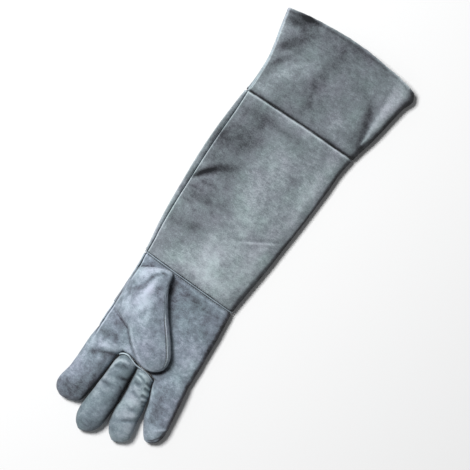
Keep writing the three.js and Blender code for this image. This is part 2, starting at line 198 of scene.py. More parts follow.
# The flattened outline of each piece: y, left edge, right edge, top, tilt and bow.
CUFF = SectionTable(
    (82.2, -83.0, 81.0, 26),
    (96, -81.5, 84.2, 27),
    (112, -81.3, 88.2, 28),
    (132, -82.3, 92.0, 29),
    (152, -86.0, 95.0, 30, 0, 1),
    (172, -90.8, 98.6, 31, 0, 4),
    (187, -94.0, 103.5, 32, -0.005, 7),
    (198, -96.4, 99.0, 32, -0.01, 9),
)
SLEEVE = SectionTable(
    (-162.9, -74.3, 62.4, 24, WRIST_TILT),
    (-150, -75.8, 63.8, 25, -0.01),
    (-122, -79.8, 66.8, 26),
    (-92, -83.0, 69.8, 27),
    (-60, -85.0, 72.0, 27),
    (-30, -86.8, 74.4, 26),
    (0, -87.4, 76.0, 26),
    (28, -86.8, 77.4, 26),
    (56, -85.2, 77.6, 26),
    (81.8, -83.0, 81.0, 26),
)
PALM = SectionTable(
    (-165.1, -74.0, 62.4, 24, WRIST_TILT),
    (-182, -72.6, 64.2, 25),
    (-205, -71.8, 66.2, 26),
    (-230, -71.0, 67.8, 26),
    (-252, -70.8, 69.2, 26, -0.03),
    (-272, -71.2, 70.2, 25, -0.09),
    (-286, -70.2, 69.8, 23, KNUCKLE_TILT),
)
INDEX = SectionTable(
    (-258, -67.0, -32.0, 19),
    (-276, -69.8, -26.0, 24),
    (-284, -70.6, -25.2, 24.8),
    (-292, -71.3, -29.4, 25.5),
    (-318, -71.2, -30.6, 25),
    (-338, -71.8, -31.8, 25),
    (-350, -74.4, -32.6, 25),
    (-360, -75.0, -33.6, 23),
    (-367, -72.6, -36.2, 20),
    (-371.5, -69.0, -42.4, 16),
    (-374.5, -64.2, -51.6, 12),
)
MIDDLE = SectionTable(
    (-288.2, -22.6, 0.4, 21.5, KNUCKLE_TILT),
    (-293.4, -25.6, 0.9, 22.8, 0.5 * KNUCKLE_TILT),
    (-299, -27.8, 1.4, 24),
    (-320, -29.4, 3.8, 24),
    (-345, -30.8, 5.3, 24),
    (-368, -32.0, 5.1, 24),
    (-380, -31.2, 3.9, 22),
    (-388, -28.6, 0.4, 19),
    (-393.6, -24.6, -5.2, 15),
    (-396.8, -20.2, -11.4, 12),
)
RING = SectionTable(
    (-288.2, 2.0, 25.0, 21.5, KNUCKLE_TILT),
    (-301, 2.7, 29.4, 23, -0.05),
    (-315, 4.3, 34.8, 23),
    (-335, 6.1, 38.8, 23),
    (-350, 6.7, 40.0, 23),
    (-364, 8.8, 43.4, 22),
    (-373, 12.0, 43.6, 20),
    (-380.5, 17.2, 39.2, 16),
    (-385.4, 23.8, 32.0, 12),
)
LITTLE = SectionTable(
    (-258, 33.0, 63.0, 19),
    (-278, 27.4, 70.2, 23.5),
    (-294, 28.6, 72.6, 24.5),
    (-308, 33.4, 74.6, 24),
    (-322, 38.8, 76.6, 23),
    (-338, 43.2, 78.4, 22),
    (-348, 48.2, 78.6, 20.5),
    (-357, 54.0, 75.2, 16),
    (-362.6, 59.2, 68.4, 12),
)


@dataclass(frozen=True)
class Profile:
    """How a tube's section is rounded.

    The powers say how full the shoulders are: 0.5 is a round fold and 1 a flat wedge. The edges are
    heights in millimetres, or shares of the section's height where edges_are_shares is set.
    """

    left_edge: float
    right_edge: float
    left_power: float
    right_power: float
    crown: float
    left_round: float
    right_round: float
    edges_are_shares: bool = False

    def _edge(self, s: Sections, t: np.ndarray) -> np.ndarray:
        """Height of the section's edges, blended across its width."""
        edge = self.left_edge + (self.right_edge - self.left_edge) * t
        return s.low + edge * (s.top - s.low) if self.edges_are_shares else edge

    def top(
        self, s: Sections, x: np.ndarray, inset: np.ndarray | float = 0.0, press: np.ndarray | float = 0.0
    ) -> np.ndarray:
        """Height of the top leather.

        Args:
            s: the sections.
            x: positions across them.
            inset: how far inside the outer surface to measure.
            press: how far folds press the leather down there.

        Returns:
            Heights in millimetres.
        """
        left, right = s.left + inset, s.right - inset
        t = np.clip((x - left) / (right - left), 0.0, 1.0)
        edge = self._edge(s, t)
        power = self.left_power + (self.right_power - self.left_power) * t * t * (3 - 2 * t)
        full = np.maximum(0.0, 1 - np.abs(2 * t - 1) ** self.crown) ** power
        return edge + (s.top - inset - edge - press) * full

    def under(self, s: Sections, x: np.ndarray, inset: np.ndarray | float = 0.0) -> np.ndarray:
        """Height of the leather that lies on the ground, rounded up at both edges.

        Args:
            s: the sections.
            x: positions across them.
            inset: how far inside the outer surface to measure.

        Returns:
            Heights in millimetres.
        """
        left, right = s.left + inset, s.right - inset
        t = np.clip((x - left) / (right - left), 0.0, 1.0)
        half = 0.5 * (right - left)
        from_left = (x - left) / np.minimum(self.left_round, half)
        from_right = (right - x) / np.minimum(self.right_round, half)
        u = np.clip(np.minimum(from_left, from_right), 0.0, 1.0)
        floor = s.low + inset
        return floor + (self._edge(s, t) - floor) * (1 - np.sqrt(np.maximum(0.0, 1 - (1 - u) ** 2)))


TUBE = Profile(4.6, 9.0, 0.72, 0.5, 2.7, 8, 10)
FINGER = Profile(0.42, 0.42, 0.5, 0.5, 2.3, 9, 9, edges_are_shares=True)


# Folds, dents and fine relief


@dataclass(frozen=True)
class Mark:
    """A soft hollow, ridge or patch of the leather.

    Depth presses the leather down, or raises it where it is negative. Tone is painted into the colour there, light
    where it is positive and dark where it is negative: in hollows, creases and gaps it is painted shade, on ridges,
    lips and edges turned to the light a painted highlight, and elsewhere it marks stains and paler and darker patches.
    """

    name: str
    x: float
    y: float
    turn: float
    length: float
    width: float
    depth: float = 0.0
    tone: float = 0.0

    def weight(self, x: np.ndarray, y: np.ndarray) -> np.ndarray:
        """How much of the mark there is at pattern points, from 0 to 1.

        Args:
            x: positions across the pattern.
            y: positions along it.

        Returns:
            Weights.
        """
        turn = math.radians(self.turn)
        along = (x - self.x) * math.cos(turn) + (y - self.y) * math.sin(turn)
        across = (y - self.y) * math.cos(turn) - (x - self.x) * math.sin(turn)
        return np.exp(-((along / (0.5 * self.length)) ** 2) - (across / (0.5 * self.width)) ** 2)


@dataclass(frozen=True)
class Line:
    """A crease, a ridge or a line of painted shade or highlight that follows a path of pattern points.

    It fades to its ends, or keeps its strength and tapers to another width.
    """

    name: str
    path: tuple[tuple[float, float], ...]
    width: float
    depth: float = 0.0
    tone: float = 0.0
    end_width: float = 0.0
    crisp: float = 1.0

    def weight(self, x: np.ndarray, y: np.ndarray) -> np.ndarray:
        """How much of the line there is at pattern points, from 0 to 1.

        Args:
            x: positions across the pattern.
            y: positions along it.

        Returns:
            Weights.
        """
        shape = np.broadcast(x, y).shape
        away, along, start = np.full(shape, 1e9), np.zeros(shape), 0.0
        for (ax, ay), (bx, by) in zip(self.path, self.path[1:]):
            length = math.hypot(bx - ax, by - ay)
            t = np.clip(((x - ax) * (bx - ax) + (y - ay) * (by - ay)) / length**2, 0, 1)
            distance = np.hypot(x - ax - t * (bx - ax), y - ay - t * (by - ay))
            along = np.where(distance < away, start + t * length, along)
            away = np.minimum(away, distance)
            start += length
        along = along / start
        if self.end_width:
            half, fade = 0.5 * (self.width + (self.end_width - self.width) * along), 1.0
        else:
            half, fade = 0.5 * self.width, (4 * along * (1 - along)) ** 0.4
        return fade * np.exp(-((away / half) ** (2 * self.crisp)))


def marks_from(*rows: tuple) -> list[Mark | Line]:
    """Makes a line of each row that holds a path, and a mark of every other row."""
    return [Line(*row) if isinstance(row[1], tuple) else Mark(*row) for row in rows]


def press_of(marks: list[Mark | Line], x: np.ndarray, y: np.ndarray) -> np.ndarray:
    """Total depth of a list of marks at pattern points."""
    return sum((m.depth * m.weight(x, y) for m in marks if m.depth), np.zeros(np.broadcast(x, y).shape))


def tone_of(marks: list[Mark | Line], x: np.ndarray, y: np.ndarray) -> np.ndarray:
    """Total tone of a list of marks at pattern points."""
    return sum((m.tone * m.weight(x, y) for m in marks if m.tone), np.zeros(np.broadcast(x, y).shape))


# Marks: name, x, y, turn, length, width, depth, tone. Lines: name, path, width, depth, tone, end width, crisp.
# Cuff: dark tones in the valley, the hollows and the creases are painted shade. Pale tones on the tall ridge by the
# right edge, on the small ridge by the thumb-side crease and along the thumb-side edge are painted highlights. The oil
# stains are the leather's own.
CUFF_MARKS = marks_from(
    ("valley", 71, 128, 108, 62, 15, 3.8),
    ("valley's bottom", ((62, 152), (68, 137), (72, 122), (74, 108), (77, 95)), 9, 0.8, -0.75),
    ("valley's top", 64, 147, 118, 26, 12, 0, -0.35),
    ("ridge", 87, 156, 80, 74, 15, -4.0),
    ("rubbed ridge", ((82, 196), (83.4, 168), (81, 142), (79.6, 122), (78.6, 104)), 28, 0, 0.85, 1.5, 1.7),
    ("middle hollow", -8, 128, 95, 62, 22, 2.2),
    ("middle stripe", -9, 136, 90, 46, 17, 0.6, -0.55),
    ("upper middle", -3, 172, 90, 60, 34, 0, -0.25),
    ("hollow over the seam", -4, 104, 66, 30, 12, 0.8, -0.35),
    ("thumb-side hollow", -68, 154, 30, 40, 18, 2.6),
    ("thumb-side shade", -63, 165, 40, 46, 15, 0.8, -0.5),
    ("damp spot", -74, 155, 60, 12, 9, 0, -0.3),
    ("thumb-side ridge", -65, 147, 36, 22, 7, -0.9, 0.4),
    ("thumb-side crease", -68, 134, 50, 22, 9, 0.9, -0.65),
    ("under the crease", -71, 121, 80, 22, 14, 0, -0.35),
    ("light edge", -84, 164, 104, 44, 9, 0, 0.4),
    ("oil stain", -66, 195, -6, 22, 9, 0, -1.1),
    ("oil around it", -68, 197, 0, 62, 14, 0, -0.75),
    ("second stain", -79, 187, 8, 34, 10, 0, -0.85),
    ("oil between the stains", -70, 183, 4, 34, 12, 0, -0.45),
    ("rubbed spot", -42, 196, 75, 14, 7, 0, 0.5),
    ("below the stains", -55, 178, 20, 50, 16, 0, -0.3),
    ("hem shade", 10, 195, -4, 120, 14, 0, -0.3),
    ("pale middle", -38, 146, 20, 34, 28, 0, 0.3),
    ("pale left", -54, 124, 40, 30, 24, 0, 0.3),
    ("pale over the seam", -66, 94, 10, 34, 13, 0, 0.4),
    ("pale right", 42, 134, 60, 60, 40, 0, 0.12),
    ("pale by the seam's end", 54, 92, -2, 34, 10, 0, 0.4),
    ("shade over the seam's middle", 14, 92, -2, 40, 12, 0, -0.25),
    ("shade in the thumb-side hollow", -62, 151, 30, 44, 30, 0, -0.6),
    ("worn middle right", 46, 124, 60, 46, 30, 0, 0.25),
    ("whole cuff", 0, 150, 0, 500, 500, 0, -0.3),
)
# Sleeve: dark tones in the pinch, the hollows, the wrinkles and creases, under the cuff and by the seams are painted
# shade. Pale tones on the ridges beside the pinch, under the cross crease and by the side seam are painted highlights.
# The broad darker and paler patches only darken or lighten the leather.
SLEEVE_MARKS = marks_from(
    ("pinch", -64, -34, 46, 34, 9, 3.2, -0.6),
    ("pinch's fold", ((-78, -51), (-71, -40), (-65, -32), (-57, -24)), 6, 0.6, -1.1),
    ("pinch's end", -48, -18, 28, 30, 13, 1.6, -0.7),
    ("ridge under the pinch", ((-75, -52.5), (-66, -43), (-58, -36), (-48, -32)), 6, -0.7, 0.4),
    ("ridge over the pinch", ((-77, -32), (-70, -23), (-60, -14)), 6, -0.7, 0.3),
    ("soiled left half", -64, 0, 90, 160, 66, 0, -0.6),
    ("soiled middle", -36, 20, 100, 80, 40, 0, -0.3),
    ("soiled by the cuff seam", -50, 54, 0, 66, 18, 0, -0.25),
    ("pale centre", 4, 2, 84, 76, 30, 0, 0.42),
    ("pale left of the centre", -14, 20, 80, 50, 20, 0, 0.3),
    ("pale right of the centre", 24, -92, 60, 44, 26, 0, 0.25),
    ("thumb-side hollow", -52, 12, 20, 52, 24, 2.2),
    ("thumb-side shade", -58, 20, 8, 66, 46, 0, -0.4),
    ("rubbed below the hollow", -58, 0, 80, 26, 26, 0, 0.3),
    ("dark spot by the seam", -75, 18, 70, 14, 9, 1.2, -0.55),
    ("shade under the cuff", -28, 63, 0, 96, 14, 0, -0.5),
    ("cross crease", ((16, -84), (34, -74), (52, -63), (68, -53)), 4, 0.9, -0.25),
    ("light under the cross crease", ((18, -86), (35, -77), (54, -66), (68, -57)), 3, -0.4, 0.5),
    ("wrinkle by the seam", ((-78, -62), (-66, -58), (-54, -58)), 4, 0.7, -0.45),
    ("second wrinkle", ((-76, -80), (-66, -77), (-56, -78)), 4, 0.6, -0.35),
    ("wrinkle below the pinch", ((-72, -46), (-60, -48), (-48, -44), (-38, -46)), 5, 0.8, -0.4),
    ("low crease", -60, -67, 3, 40, 9, 1.1, -0.5),
    ("shade by the low crease", -38, -60, 12, 44, 24, 0, -0.3),
    ("ridge by the seam", -71, 47, 28, 16, 5, -0.9, 0.2),
    ("wrist hollow", -58, -108, 16, 34, 13, 1.0, -0.4),
    ("dark spot", -38, -102, 10, 20, 15, 0.6, -0.6),
    ("thumb-side edge", -68, -100, 90, 50, 12, 0, -0.3),
    ("pale wrist", 0, -119, 80, 46, 40, -0.6, 0.75),
    ("pale by the wrist seam", 16, -146, 0, 76, 28, 0, 0.4),
    ("pale right", 47, -98, 86, 74, 22, 0, 0.55),
    ("pale middle", 14, -62, 40, 34, 24, 0, 0.25),
    ("pale right edge", 60, -16, 90, 64, 16, 0, 0.45),
    ("pale upper right edge", 60, 34, 90, 70, 14, 0, 0.3),
    ("shade by the wrist seam", 54, -148, 100, 24, 16, 0, -0.45),
    ("pale along the wrist seam", -20, -146, -2, 130, 16, 0, 0.22),
    ("shade at the seam's end", -56, -140, 20, 36, 18, 0, -0.3),
    ("thumb print", 33, 18, 20, 18, 11, 0, -0.4),
    ("small spot", 10, 52, 0, 5, 5, 0, -0.4),
)
# Hand: dark tones in the creases, folds and hollows, beside and under the thumb, along the knuckle seam and in the
# gaps between the fingers are painted shade and shadow. Pale tones on the turned edge by the wrist and on the little
# finger's ridge and edges are painted highlights.
HAND_MARKS = marks_from(
    ("palm hollow", -50, -268, 10, 34, 18, 1.6),
    ("palm shade", -51, -274, 8, 26, 12, 0, -0.5),
    ("shade at the thumb's root", -48, -257, -12, 34, 12, 0, -0.45),
    ("fold under the thumb",
     ((-66, -246), (-47, -251.5), (-38, -255), (-29.5, -263.5), (-20, -272.5), (-11, -280), (-3, -286)),
     2.2, 0.6, -0.9),
    ("dark under the thumb's tip", ((2, -288), (12, -288.6), (22, -286), (29, -281), (33.4, -273)), 3, 0, -1.2),
    ("shade of the upper palm", 30, -196, -12, 100, 44, 0, -0.42),
    ("knuckle seam's shade", ((-29, -289), (-25, -284.6), (-17.5, -282.4), (-9, -284), (-1, -287)), 2.6, 0.3, -1.5),
    ("gap beside the middle finger", ((-28.6, -291), (-30, -318), (-32, -340), (-34.5, -368)), 4.8, 0, -1.9),
    ("index finger's fold", ((-60, -304), (-52, -300.5), (-43, -297), (-33, -292.5)), 3.6, 0.6, -0.5),
    ("seam at the little finger's tip", ((75, -338), (75.5, -348), (70, -357), (63, -362)), 2.4, 0.5, -0.9),
    ("pale beside the thumb's tip", -32, -283, 20, 40, 12, 0, 0.6),
    ("shade under the thumb's tip", 30, -275, 40, 24, 15, 0, -0.9),
    ("shade by the thumb's root", -17, -184, 100, 26, 10, 0, -0.9),
    ("shade along the thumb", 4, -212, 126, 60, 12, 0, -0.4),
    ("worn index middle", -46, -344, 90, 30, 20, 0, -0.35),
    ("seam's shade over the ring finger", ((-4, -286), (6, -286.5), (16, -287.6), (27, -291)), 4, 0, -0.8),
    ("turned edge by the wrist", ((-68, -170), (-40, -168.6), (0, -169.5), (40, -170.6), (62, -171)), 2.6, 0, 0.35),
    ("heel", -58, -172, 32, 40, 11, 1.4, -0.6),
    ("heel's fold", -64, -178.5, 32, 18, 4, 0.6, -0.5),
    ("index crease", -46, -300, 22, 40, 9, 1.8, -0.6),
    ("pale over the crease", -50, -288, 8, 44, 11, 0, 0.4),
    ("index hollow", -50, -276, 0, 26, 10, 0.9),
    ("index edge", -66, -300, 95, 40, 10, 0, 0.4),
    ("index shade", -37, -334, 95, 74, 10, 0, -0.65),
    ("index tip", -56, -361, 6, 42, 26, 0, -0.8),
    ("index tip dent", -58, -356, 20, 26, 12, 0.7),
    ("palm dent", 12, -178, 20, 40, 12, 1.0),
    ("palm by the wrist", 16, -177, -4, 70, 18, 0, -0.35),
    ("palm beside the thumb", 30, -262, 60, 36, 12, 0, -0.35),
    ("pale palm", 52, -254, 85, 64, 28, 0, 0.48),
    ("little finger's front", 55, -309, 100, 30, 18, 0, -0.25),
    ("little finger hollow", 54, -327, 100, 30, 12, 1.0),
    ("little finger shade", 55, -324, 80, 22, 15, 0, -0.8),
    ("little finger root", 46, -304, 90, 24, 15, 0, -0.5),
    ("little finger bend", 57, -338, 20, 22, 8, 0.5, -0.35),
    ("little finger tip", 61, -351, 30, 18, 15, 0, 0.4),
    ("little finger ridge", 71.5, -339.5, 36, 16, 4, -0.8, 0.9),
    ("little finger edge", 32, -303, 116, 32, 4, -0.4, 0.5),
    ("little finger inner edge", 45, -333, 122, 30, 5, 0, 0.35),
)
# Thumb: pale tones on the top ridge and its corner, on the root ridge and on the seam's lips are painted highlights.
# Dark tones in the valleys and creases, in the seam's groove and on the side turned from the light are painted shade.
THUMB_MARKS = marks_from(
    ("top ridge", -52, -174, 27, 52, 9, -2.0),
    ("rubbed ridge", -51, -175.5, 40, 34, 9, 0, 0.8),
    ("rubbed corner", -36, -167.5, 12, 22, 6, 0, 0.6),
    ("pale root", -61, -191, 60, 24, 17, 0, 0.55),
    ("root valley", -46, -187, 62, 44, 8, 3.4),
    ("valley's start", -39, -174.5, 30, 14, 6, 0, -0.6),
    ("valley's bottom", -47, -186, 72, 24, 6, 0, -0.85),
    ("valley's end", -52, -203, 58, 24, 10, 1.8, -0.6),
    ("root ridge", -40.5, -196, 86, 46, 9, -1.6),
    ("pale thumb", -40, -215, 70, 64, 56, 0, 0.42),
    ("pale inner side", -27, -219, 110, 40, 14, 0, 0.3),
    ("ridge's top", -42, -190, 88, 28, 6, 0, 0.6),
    ("ridge's foot", -40, -209, 96, 36, 15, 0, 0.75),
    ("inner valley", -30, -191, 80, 30, 8, 1.7, -0.45),
    ("wrist-side ridge", -25, -174, 100, 18, 5, -1.2),
    ("flank", -14, -222, 122, 60, 12, 1.3, -0.3),
    ("soiled side", -20, -210, 118, 46, 18, 0, -0.25),
    ("pale left", -55, -227, 100, 24, 15, 0, 0.4),
    ("pale middle", -34, -236, 20, 40, 20, 0, 0.2),
    ("palm-side crease", -61, -217, 104, 18, 6, 0.9, -0.45),
    ("pale by the tip", 2, -258, 55, 44, 22, 0, 0.3),
    ("seam-side crease", -63, -232, 122, 18, 5, 1.3, -0.4),
    ("root crease", ((-66, -243.5), (-58, -245.5), (-50, -248), (-43, -250.5), (-38, -253.5)), 2.4, 0.6, -0.5),
    ("crease in the corner", ((-43, -170), (-37, -172), (-31, -171)), 3, 0.8, -0.6),
    ("crease beside the ridge", ((-33, -206), (-30, -220), (-27, -232)), 6, 0.7, -0.3),
    ("seam's shade above the root", ((-69.6, -181), (-69.4, -192), (-69.6, -203)), 1.8, 0.3, -1.3),
    ("seam's lip above the root", ((-67.6, -181), (-67.4, -192), (-67.6, -203)), 1.8, 0, 0.6),
    ("seam's shade below the root", ((-69.8, -219), (-69.4, -230), (-69.0, -242)), 1.8, 0.3, -1.3),
    ("seam's lip below the root", ((-67.8, -219), (-67.4, -230), (-67.0, -242)), 1.8, 0, 0.6),
    ("crease across the root", ((-66, -200), (-58, -205), (-50, -206)), 4, 0.7, -0.35),
)
# Middle finger: pale tones on the shoulder, the fold under the welt and the left edge are painted highlights. Dark
# tones in the folds and creases, in the gap beside the ring finger and on the right side are painted shade.
MIDDLE_MARKS = marks_from(
    ("shoulder", -26.5, -298, 82, 18, 6, 0, 0.8),
    ("lit fold under the welt",
     ((-28.2, -311), (-27.2, -303), (-25, -297.6), (-21.6, -293.8), (-16, -292), (-9, -293)), 3.4, -0.4, 1.1),
    ("shade under the lit fold", ((-24, -305), (-20.5, -298.6), (-14, -297), (-7, -298.6)), 3.4, 0.4, -0.5),
    ("base crease", -4, -312, 12, 20, 5.5, 1.5, -0.5),
    ("base fold", ((-14, -315), (-6, -313), (3, -309)), 3.6, 0.8, -0.7),
    ("shoulder fold", ((-27, -304), (-20, -303), (-12, -300), (-6, -296)), 4, 0.8, -0.35),
    ("second fold", ((-29, -330), (-22, -328), (-14, -329)), 3.4, 0.8, -0.45),
    ("short fold", ((-4, -322), (0, -325), (2, -330)), 3, 0.7, -0.4),
    ("base gather", -17, -302, 24, 20, 7, 0.7, -0.25),
    ("light before the second crease", -20, -321, 6, 24, 7, 0, 0.25),
    ("second crease", -22, -328.5, 6, 24, 5, 0.6, -0.35),
    ("light after the second crease", -20, -336, 4, 26, 8, 0, 0.2),
    ("gap beside the ring finger", ((1, -290), (2, -305), (4.5, -325), (6, -345), (5, -374)), 5, 0, -1.9),
    ("lit left edge", ((-27, -300), (-28.6, -325), (-30, -350)), 3, 0, 0.35),
    ("knuckle dent", -5, -346, 60, 22, 11, 0.6, -0.4),
    ("shaded side", 2, -345, 91, 90, 9, 0, -0.6),
    ("tip", -8, -384, 10, 30, 20, 0, -0.35),
    ("pale left", -26, -350, 92, 90, 8, 0, 0.25),
)
# Ring finger: dark tones in the gathers, crinkles and folds, in the gaps beside its neighbours and on its right side
# are painted shade. Pale tones on the ridges and crinkles between them are painted highlights.
RING_MARKS = marks_from(
    ("gap beside the middle finger", ((2, -294), (3.4, -310), (5.2, -322), (6.2, -340), (7, -358)), 2.6, 0, -1.8),
    ("gap beside the little finger", ((28, -296), (35, -312), (38.6, -326), (40.4, -342)), 2.6, 0, -0.7),
    ("pale by the seam", 24, -297, -12, 20, 7, 0, 0.4),
    ("first gather", ((22, -299.5), (28, -302), (34, -304)), 3, 2.2, -1.1),
    ("second gather", ((23, -307), (30, -308), (37, -308.5)), 3.0, 2.1, -1.1),
    ("ridge between gathers", ((22, -303), (29, -305), (35, -306.5)), 2.8, -0.8, 1.0),
    ("second ridge", ((24, -312.4), (31, -313), (38, -312.4)), 2.8, -0.9, 1.3),
    ("third gather", ((26, -317), (32, -316.4), (38, -315)), 2.8, 1.8, -1.1),
    ("third ridge", ((28, -320.6), (34, -319.4), (40, -317.8)), 2.6, -0.7, 0.9),
    ("fourth gather", ((30, -324.4), (35, -322.6), (40, -320.4)), 2.8, 1.6, -1.0),
    ("lit crinkle by the welt", ((6, -294.6), (12, -293.8), (18, -295.4)), 2.2, -0.4, 0.8),
    ("crinkle by the welt", ((4, -297), (10, -297), (16, -298.4), (20, -300)), 2.2, 0.7, -0.8),
    ("lit crinkle", ((5, -300), (10, -300.4), (16, -302)), 2.4, -0.4, 0.8),
    ("crinkle", ((8, -306.6), (13, -307.2), (18, -305.4)), 2.8, 0.7, -0.7),
    ("lower lit crinkle", ((9, -311), (15, -312), (21, -310)), 2.6, -0.4, 0.7),
    ("fifth gather", ((33, -329), (37, -326.5), (41, -323)), 2.8, 1.5, -0.8),
    ("puckers on the left", ((10, -300), (8, -306), (10, -313)), 3, 0.8, -0.15),
    ("upper fold", ((12, -318), (20, -322), (27, -321)), 4, 0.9, -0.4),
    ("light over the upper fold", ((12, -313), (20, -317), (26, -316)), 4, -0.5, 0.5),
    ("middle fold", ((14, -336), (22, -340), (32, -338)), 3.4, 0.9, -0.35),
    ("tip's fold", ((22, -358), (31, -353), (40, -348)), 3.2, 1.2, -0.6),
    ("pale base", 14, -295, 10, 20, 10, 0, 0.45),
    ("base dent", 12, -306, 60, 16, 7, 0.6, -0.2),
    ("pale middle", 17, -331, 30, 26, 14, 0, 0.6),
    ("middle dent", 24, -339, 10, 28, 5, 0.5, -0.2),
    ("pale under the middle", 17, -349, 85, 24, 12, 0, 0.15),
    ("light over the tip crease", 28, -346, 30, 20, 5, 0, 0.45),
    ("tip crease", 31, -351.5, 34, 24, 5, 1.2, -0.5),
    ("shaded side", 38, -330, 88, 40, 6, 0, -0.5),
    ("tip", 27, -370, 0, 30, 22, 0, 0.05),
    ("whole finger", 20, -335, 0, 90, 110, 0, 0.28),
)


class Creases:
    """Seeded smooth noise, for the slackness and the fine wrinkles of worked leather."""

    cells = 64

    def __init__(self, seed: int) -> None:
        """Fills a lattice with random heights from -1 to 1."""
        self.lattice = np.random.default_rng(seed).uniform(-1, 1, (self.cells, self.cells))

    def at(self, x: np.ndarray, y: np.ndarray, size_x: float, size_y: float) -> np.ndarray:
        """Noise from -1 to 1 at pattern points, with humps of about size_x by size_y mm.

        Args:
            x: positions across the pattern.
            y: positions along it.
            size_x: length of a hump across.
            size_y: length of a hump along.

        Returns:
            The noise.
        """
        u, v = x / size_x + 17.3, y / size_y + 41.7
        i, j = np.floor(u).astype(int), np.floor(v).astype(int)
        a, b = u - i, v - j
        a, b = a * a * (3 - 2 * a), b * b * (3 - 2 * b)
        low = self._pick(i, j) * (1 - a) + self._pick(i + 1, j) * a
        high = self._pick(i, j + 1) * (1 - a) + self._pick(i + 1, j + 1) * a
        return low * (1 - b) + high * b

    def _pick(self, i: np.ndarray, j: np.ndarray) -> np.ndarray:
        """The lattice's heights, repeated without end."""
        return self.lattice[i % self.cells, j % self.cells]

    def ridges(self, x: np.ndarray, y: np.ndarray, size_x: float, size_y: float) -> np.ndarray:
        """Thin creases from 0 to 1 between broad flat places."""
        return (1 - np.abs(self.at(x, y, size_x, size_y))) ** 6


@dataclass(frozen=True)
class Relief:
    """The leather's own unevenness, in millimetres of height."""

    seed: int
    slack: float = 0.5
    wrinkle: float = 0.2
    crease: float = 0.3

    def at(self, x: np.ndarray, y: np.ndarray) -> np.ndarray:
        """Height of the relief at pattern points.

        Args:
            x: positions across the pattern.
            y: positions along it.

        Returns:
            Heights in millimetres.
        """
        noise = Creases(self.seed)
        turned_x, turned_y = 0.8 * x + 0.6 * y, 0.8 * y - 0.6 * x
        broad = noise.at(x, y, 31, 37) + 0.6 * noise.at(turned_x, turned_y, 17, 21)
        fine = noise.at(turned_x, turned_y, 6.5, 9) + 0.6 * noise.at(x, y, 3.6, 4.4)
        folds = noise.ridges(turned_x + 3 * noise.at(x, y, 12, 12), turned_y, 26, 15)
        patchy = np.clip(noise.at(x, y, 40, 33) + 0.3, 0, 1)
        return self.slack * broad + self.wrinkle * fine - self.crease * folds * patchy


@dataclass(frozen=True)
class FlankShade:
    """Painted shade on the fold on the little finger side, which turns away from the light.

    Reaches are how far the painted shade comes in from the outline, in millimetres, at each y.
    """

    tone: float = -1.5
    keys: tuple[float, ...] = (-340, -300, -262, -200, -160, -140, -100, -60, -20, 30, 70, 88, 105, 122, 150, 175, 200)
    reaches: tuple[float, ...] = (3, 4.5, 5, 5, 5, 6, 5, 4, 2.6, 4, 4.6, 6.5, 6.5, 4.4, 4.8, 6, 8)

    def at(self, y: np.ndarray, away: np.ndarray) -> np.ndarray:
        """Tone at y, at a distance inside the outline."""
        reach = smooth_table(np.array(self.keys, dtype=float), np.array(self.reaches, dtype=float), y)
        return self.tone * np.exp(-((np.maximum(away, 0) / reach) ** 4))


FLANK_SHADE = FlankShade()


# Meshes


@dataclass
class Skin:
    """A growing mesh in pattern millimetres, with a tone for each point."""

    points: list[np.ndarray] = field(default_factory=list)
    faces: list[np.ndarray] = field(default_factory=list)
    tones: list[np.ndarray] = field(default_factory=list)
    count: int = 0

    def add(self, points: np.ndarray, faces: np.ndarray, tones: np.ndarray | float = 0.0) -> None:
        """Adds points, faces that count from the first of them, and their tones.

        Args:
            points: shape (n, 3).
            faces: shape (k, 4), where a repeated last point makes a triangle.
            tones: a tone for each point, or one number.
        """
        self.faces.append(faces + self.count)
        self.points.append(points)
        self.tones.append(np.broadcast_to(np.asarray(tones, dtype=float), (len(points),)))
        self.count += len(points)

    def add_grid(self, grid: np.ndarray, tones: np.ndarray | float = 0.0, ring: bool = False) -> None:
        """Adds loops of points joined into quads.

        Args:
            grid: array (n, m, 3): n loops of m points, each loop closed.
            tones: a tone for each point, shape (n, m), or one number.
            ring: whether the last loop joins the first, instead of a fan that closes each end.
        """
        n, m = grid.shape[:2]
        i = np.arange(n if ring else n - 1)[:, None]
        j = np.arange(m)
        k, q = (i + 1) % n, (j + 1) % m
        quads = np.stack([i * m + j, i * m + q, k * m + q, k * m + j], axis=-1).reshape(-1, 4)
        points = grid.reshape(-1, 3)
        flat = np.broadcast_to(np.asarray(tones, dtype=float), (n, m)).reshape(-1)
        if ring:
            self.add(points, quads, flat)
            return
        last = (n - 1) * m
        first_fan = np.stack([np.full(m, n * m), q, j, j], axis=-1)
        last_fan = np.stack([np.full(m, n * m + 1), last + j, last + q, last + q], axis=-1)
        points = np.concatenate([points, grid[0].mean(axis=0)[None], grid[-1].mean(axis=0)[None]])
        flat = np.concatenate([flat, [flat[:m].mean(), flat[-m:].mean()]])
        self.add(points, np.concatenate([quads, first_fan, last_fan]), flat)

    def to_object(self, name: str, material: bpy.types.Material) -> bpy.types.Object:
        """Makes the Blender object, with smooth faces that point outwards.

        Args:
            name: the piece's name.
            material: its finish.

        Returns:
            The linked object.
        """
        points = FRAME.to_metres(np.concatenate(self.points))
        faces = [tuple(dict.fromkeys(face)) for face in np.concatenate(self.faces).tolist()]
        mesh = bpy.data.meshes.new(name)
        mesh.from_pydata(points.tolist(), [], faces)
        tone = mesh.attributes.new("tone", "FLOAT", "POINT")
        tone.data.foreach_set("value", np.concatenate(self.tones).astype(np.float32))
        mesh.update()
        if signed_volume(mesh) < 0:
            mesh.flip_normals()
        mesh.polygons.foreach_set("use_smooth", np.ones(len(mesh.polygons), dtype=bool))
        mesh.materials.append(material)
        piece = bpy.data.objects.new(name, mesh)
        bpy.context.scene.collection.objects.link(piece)
        return piece


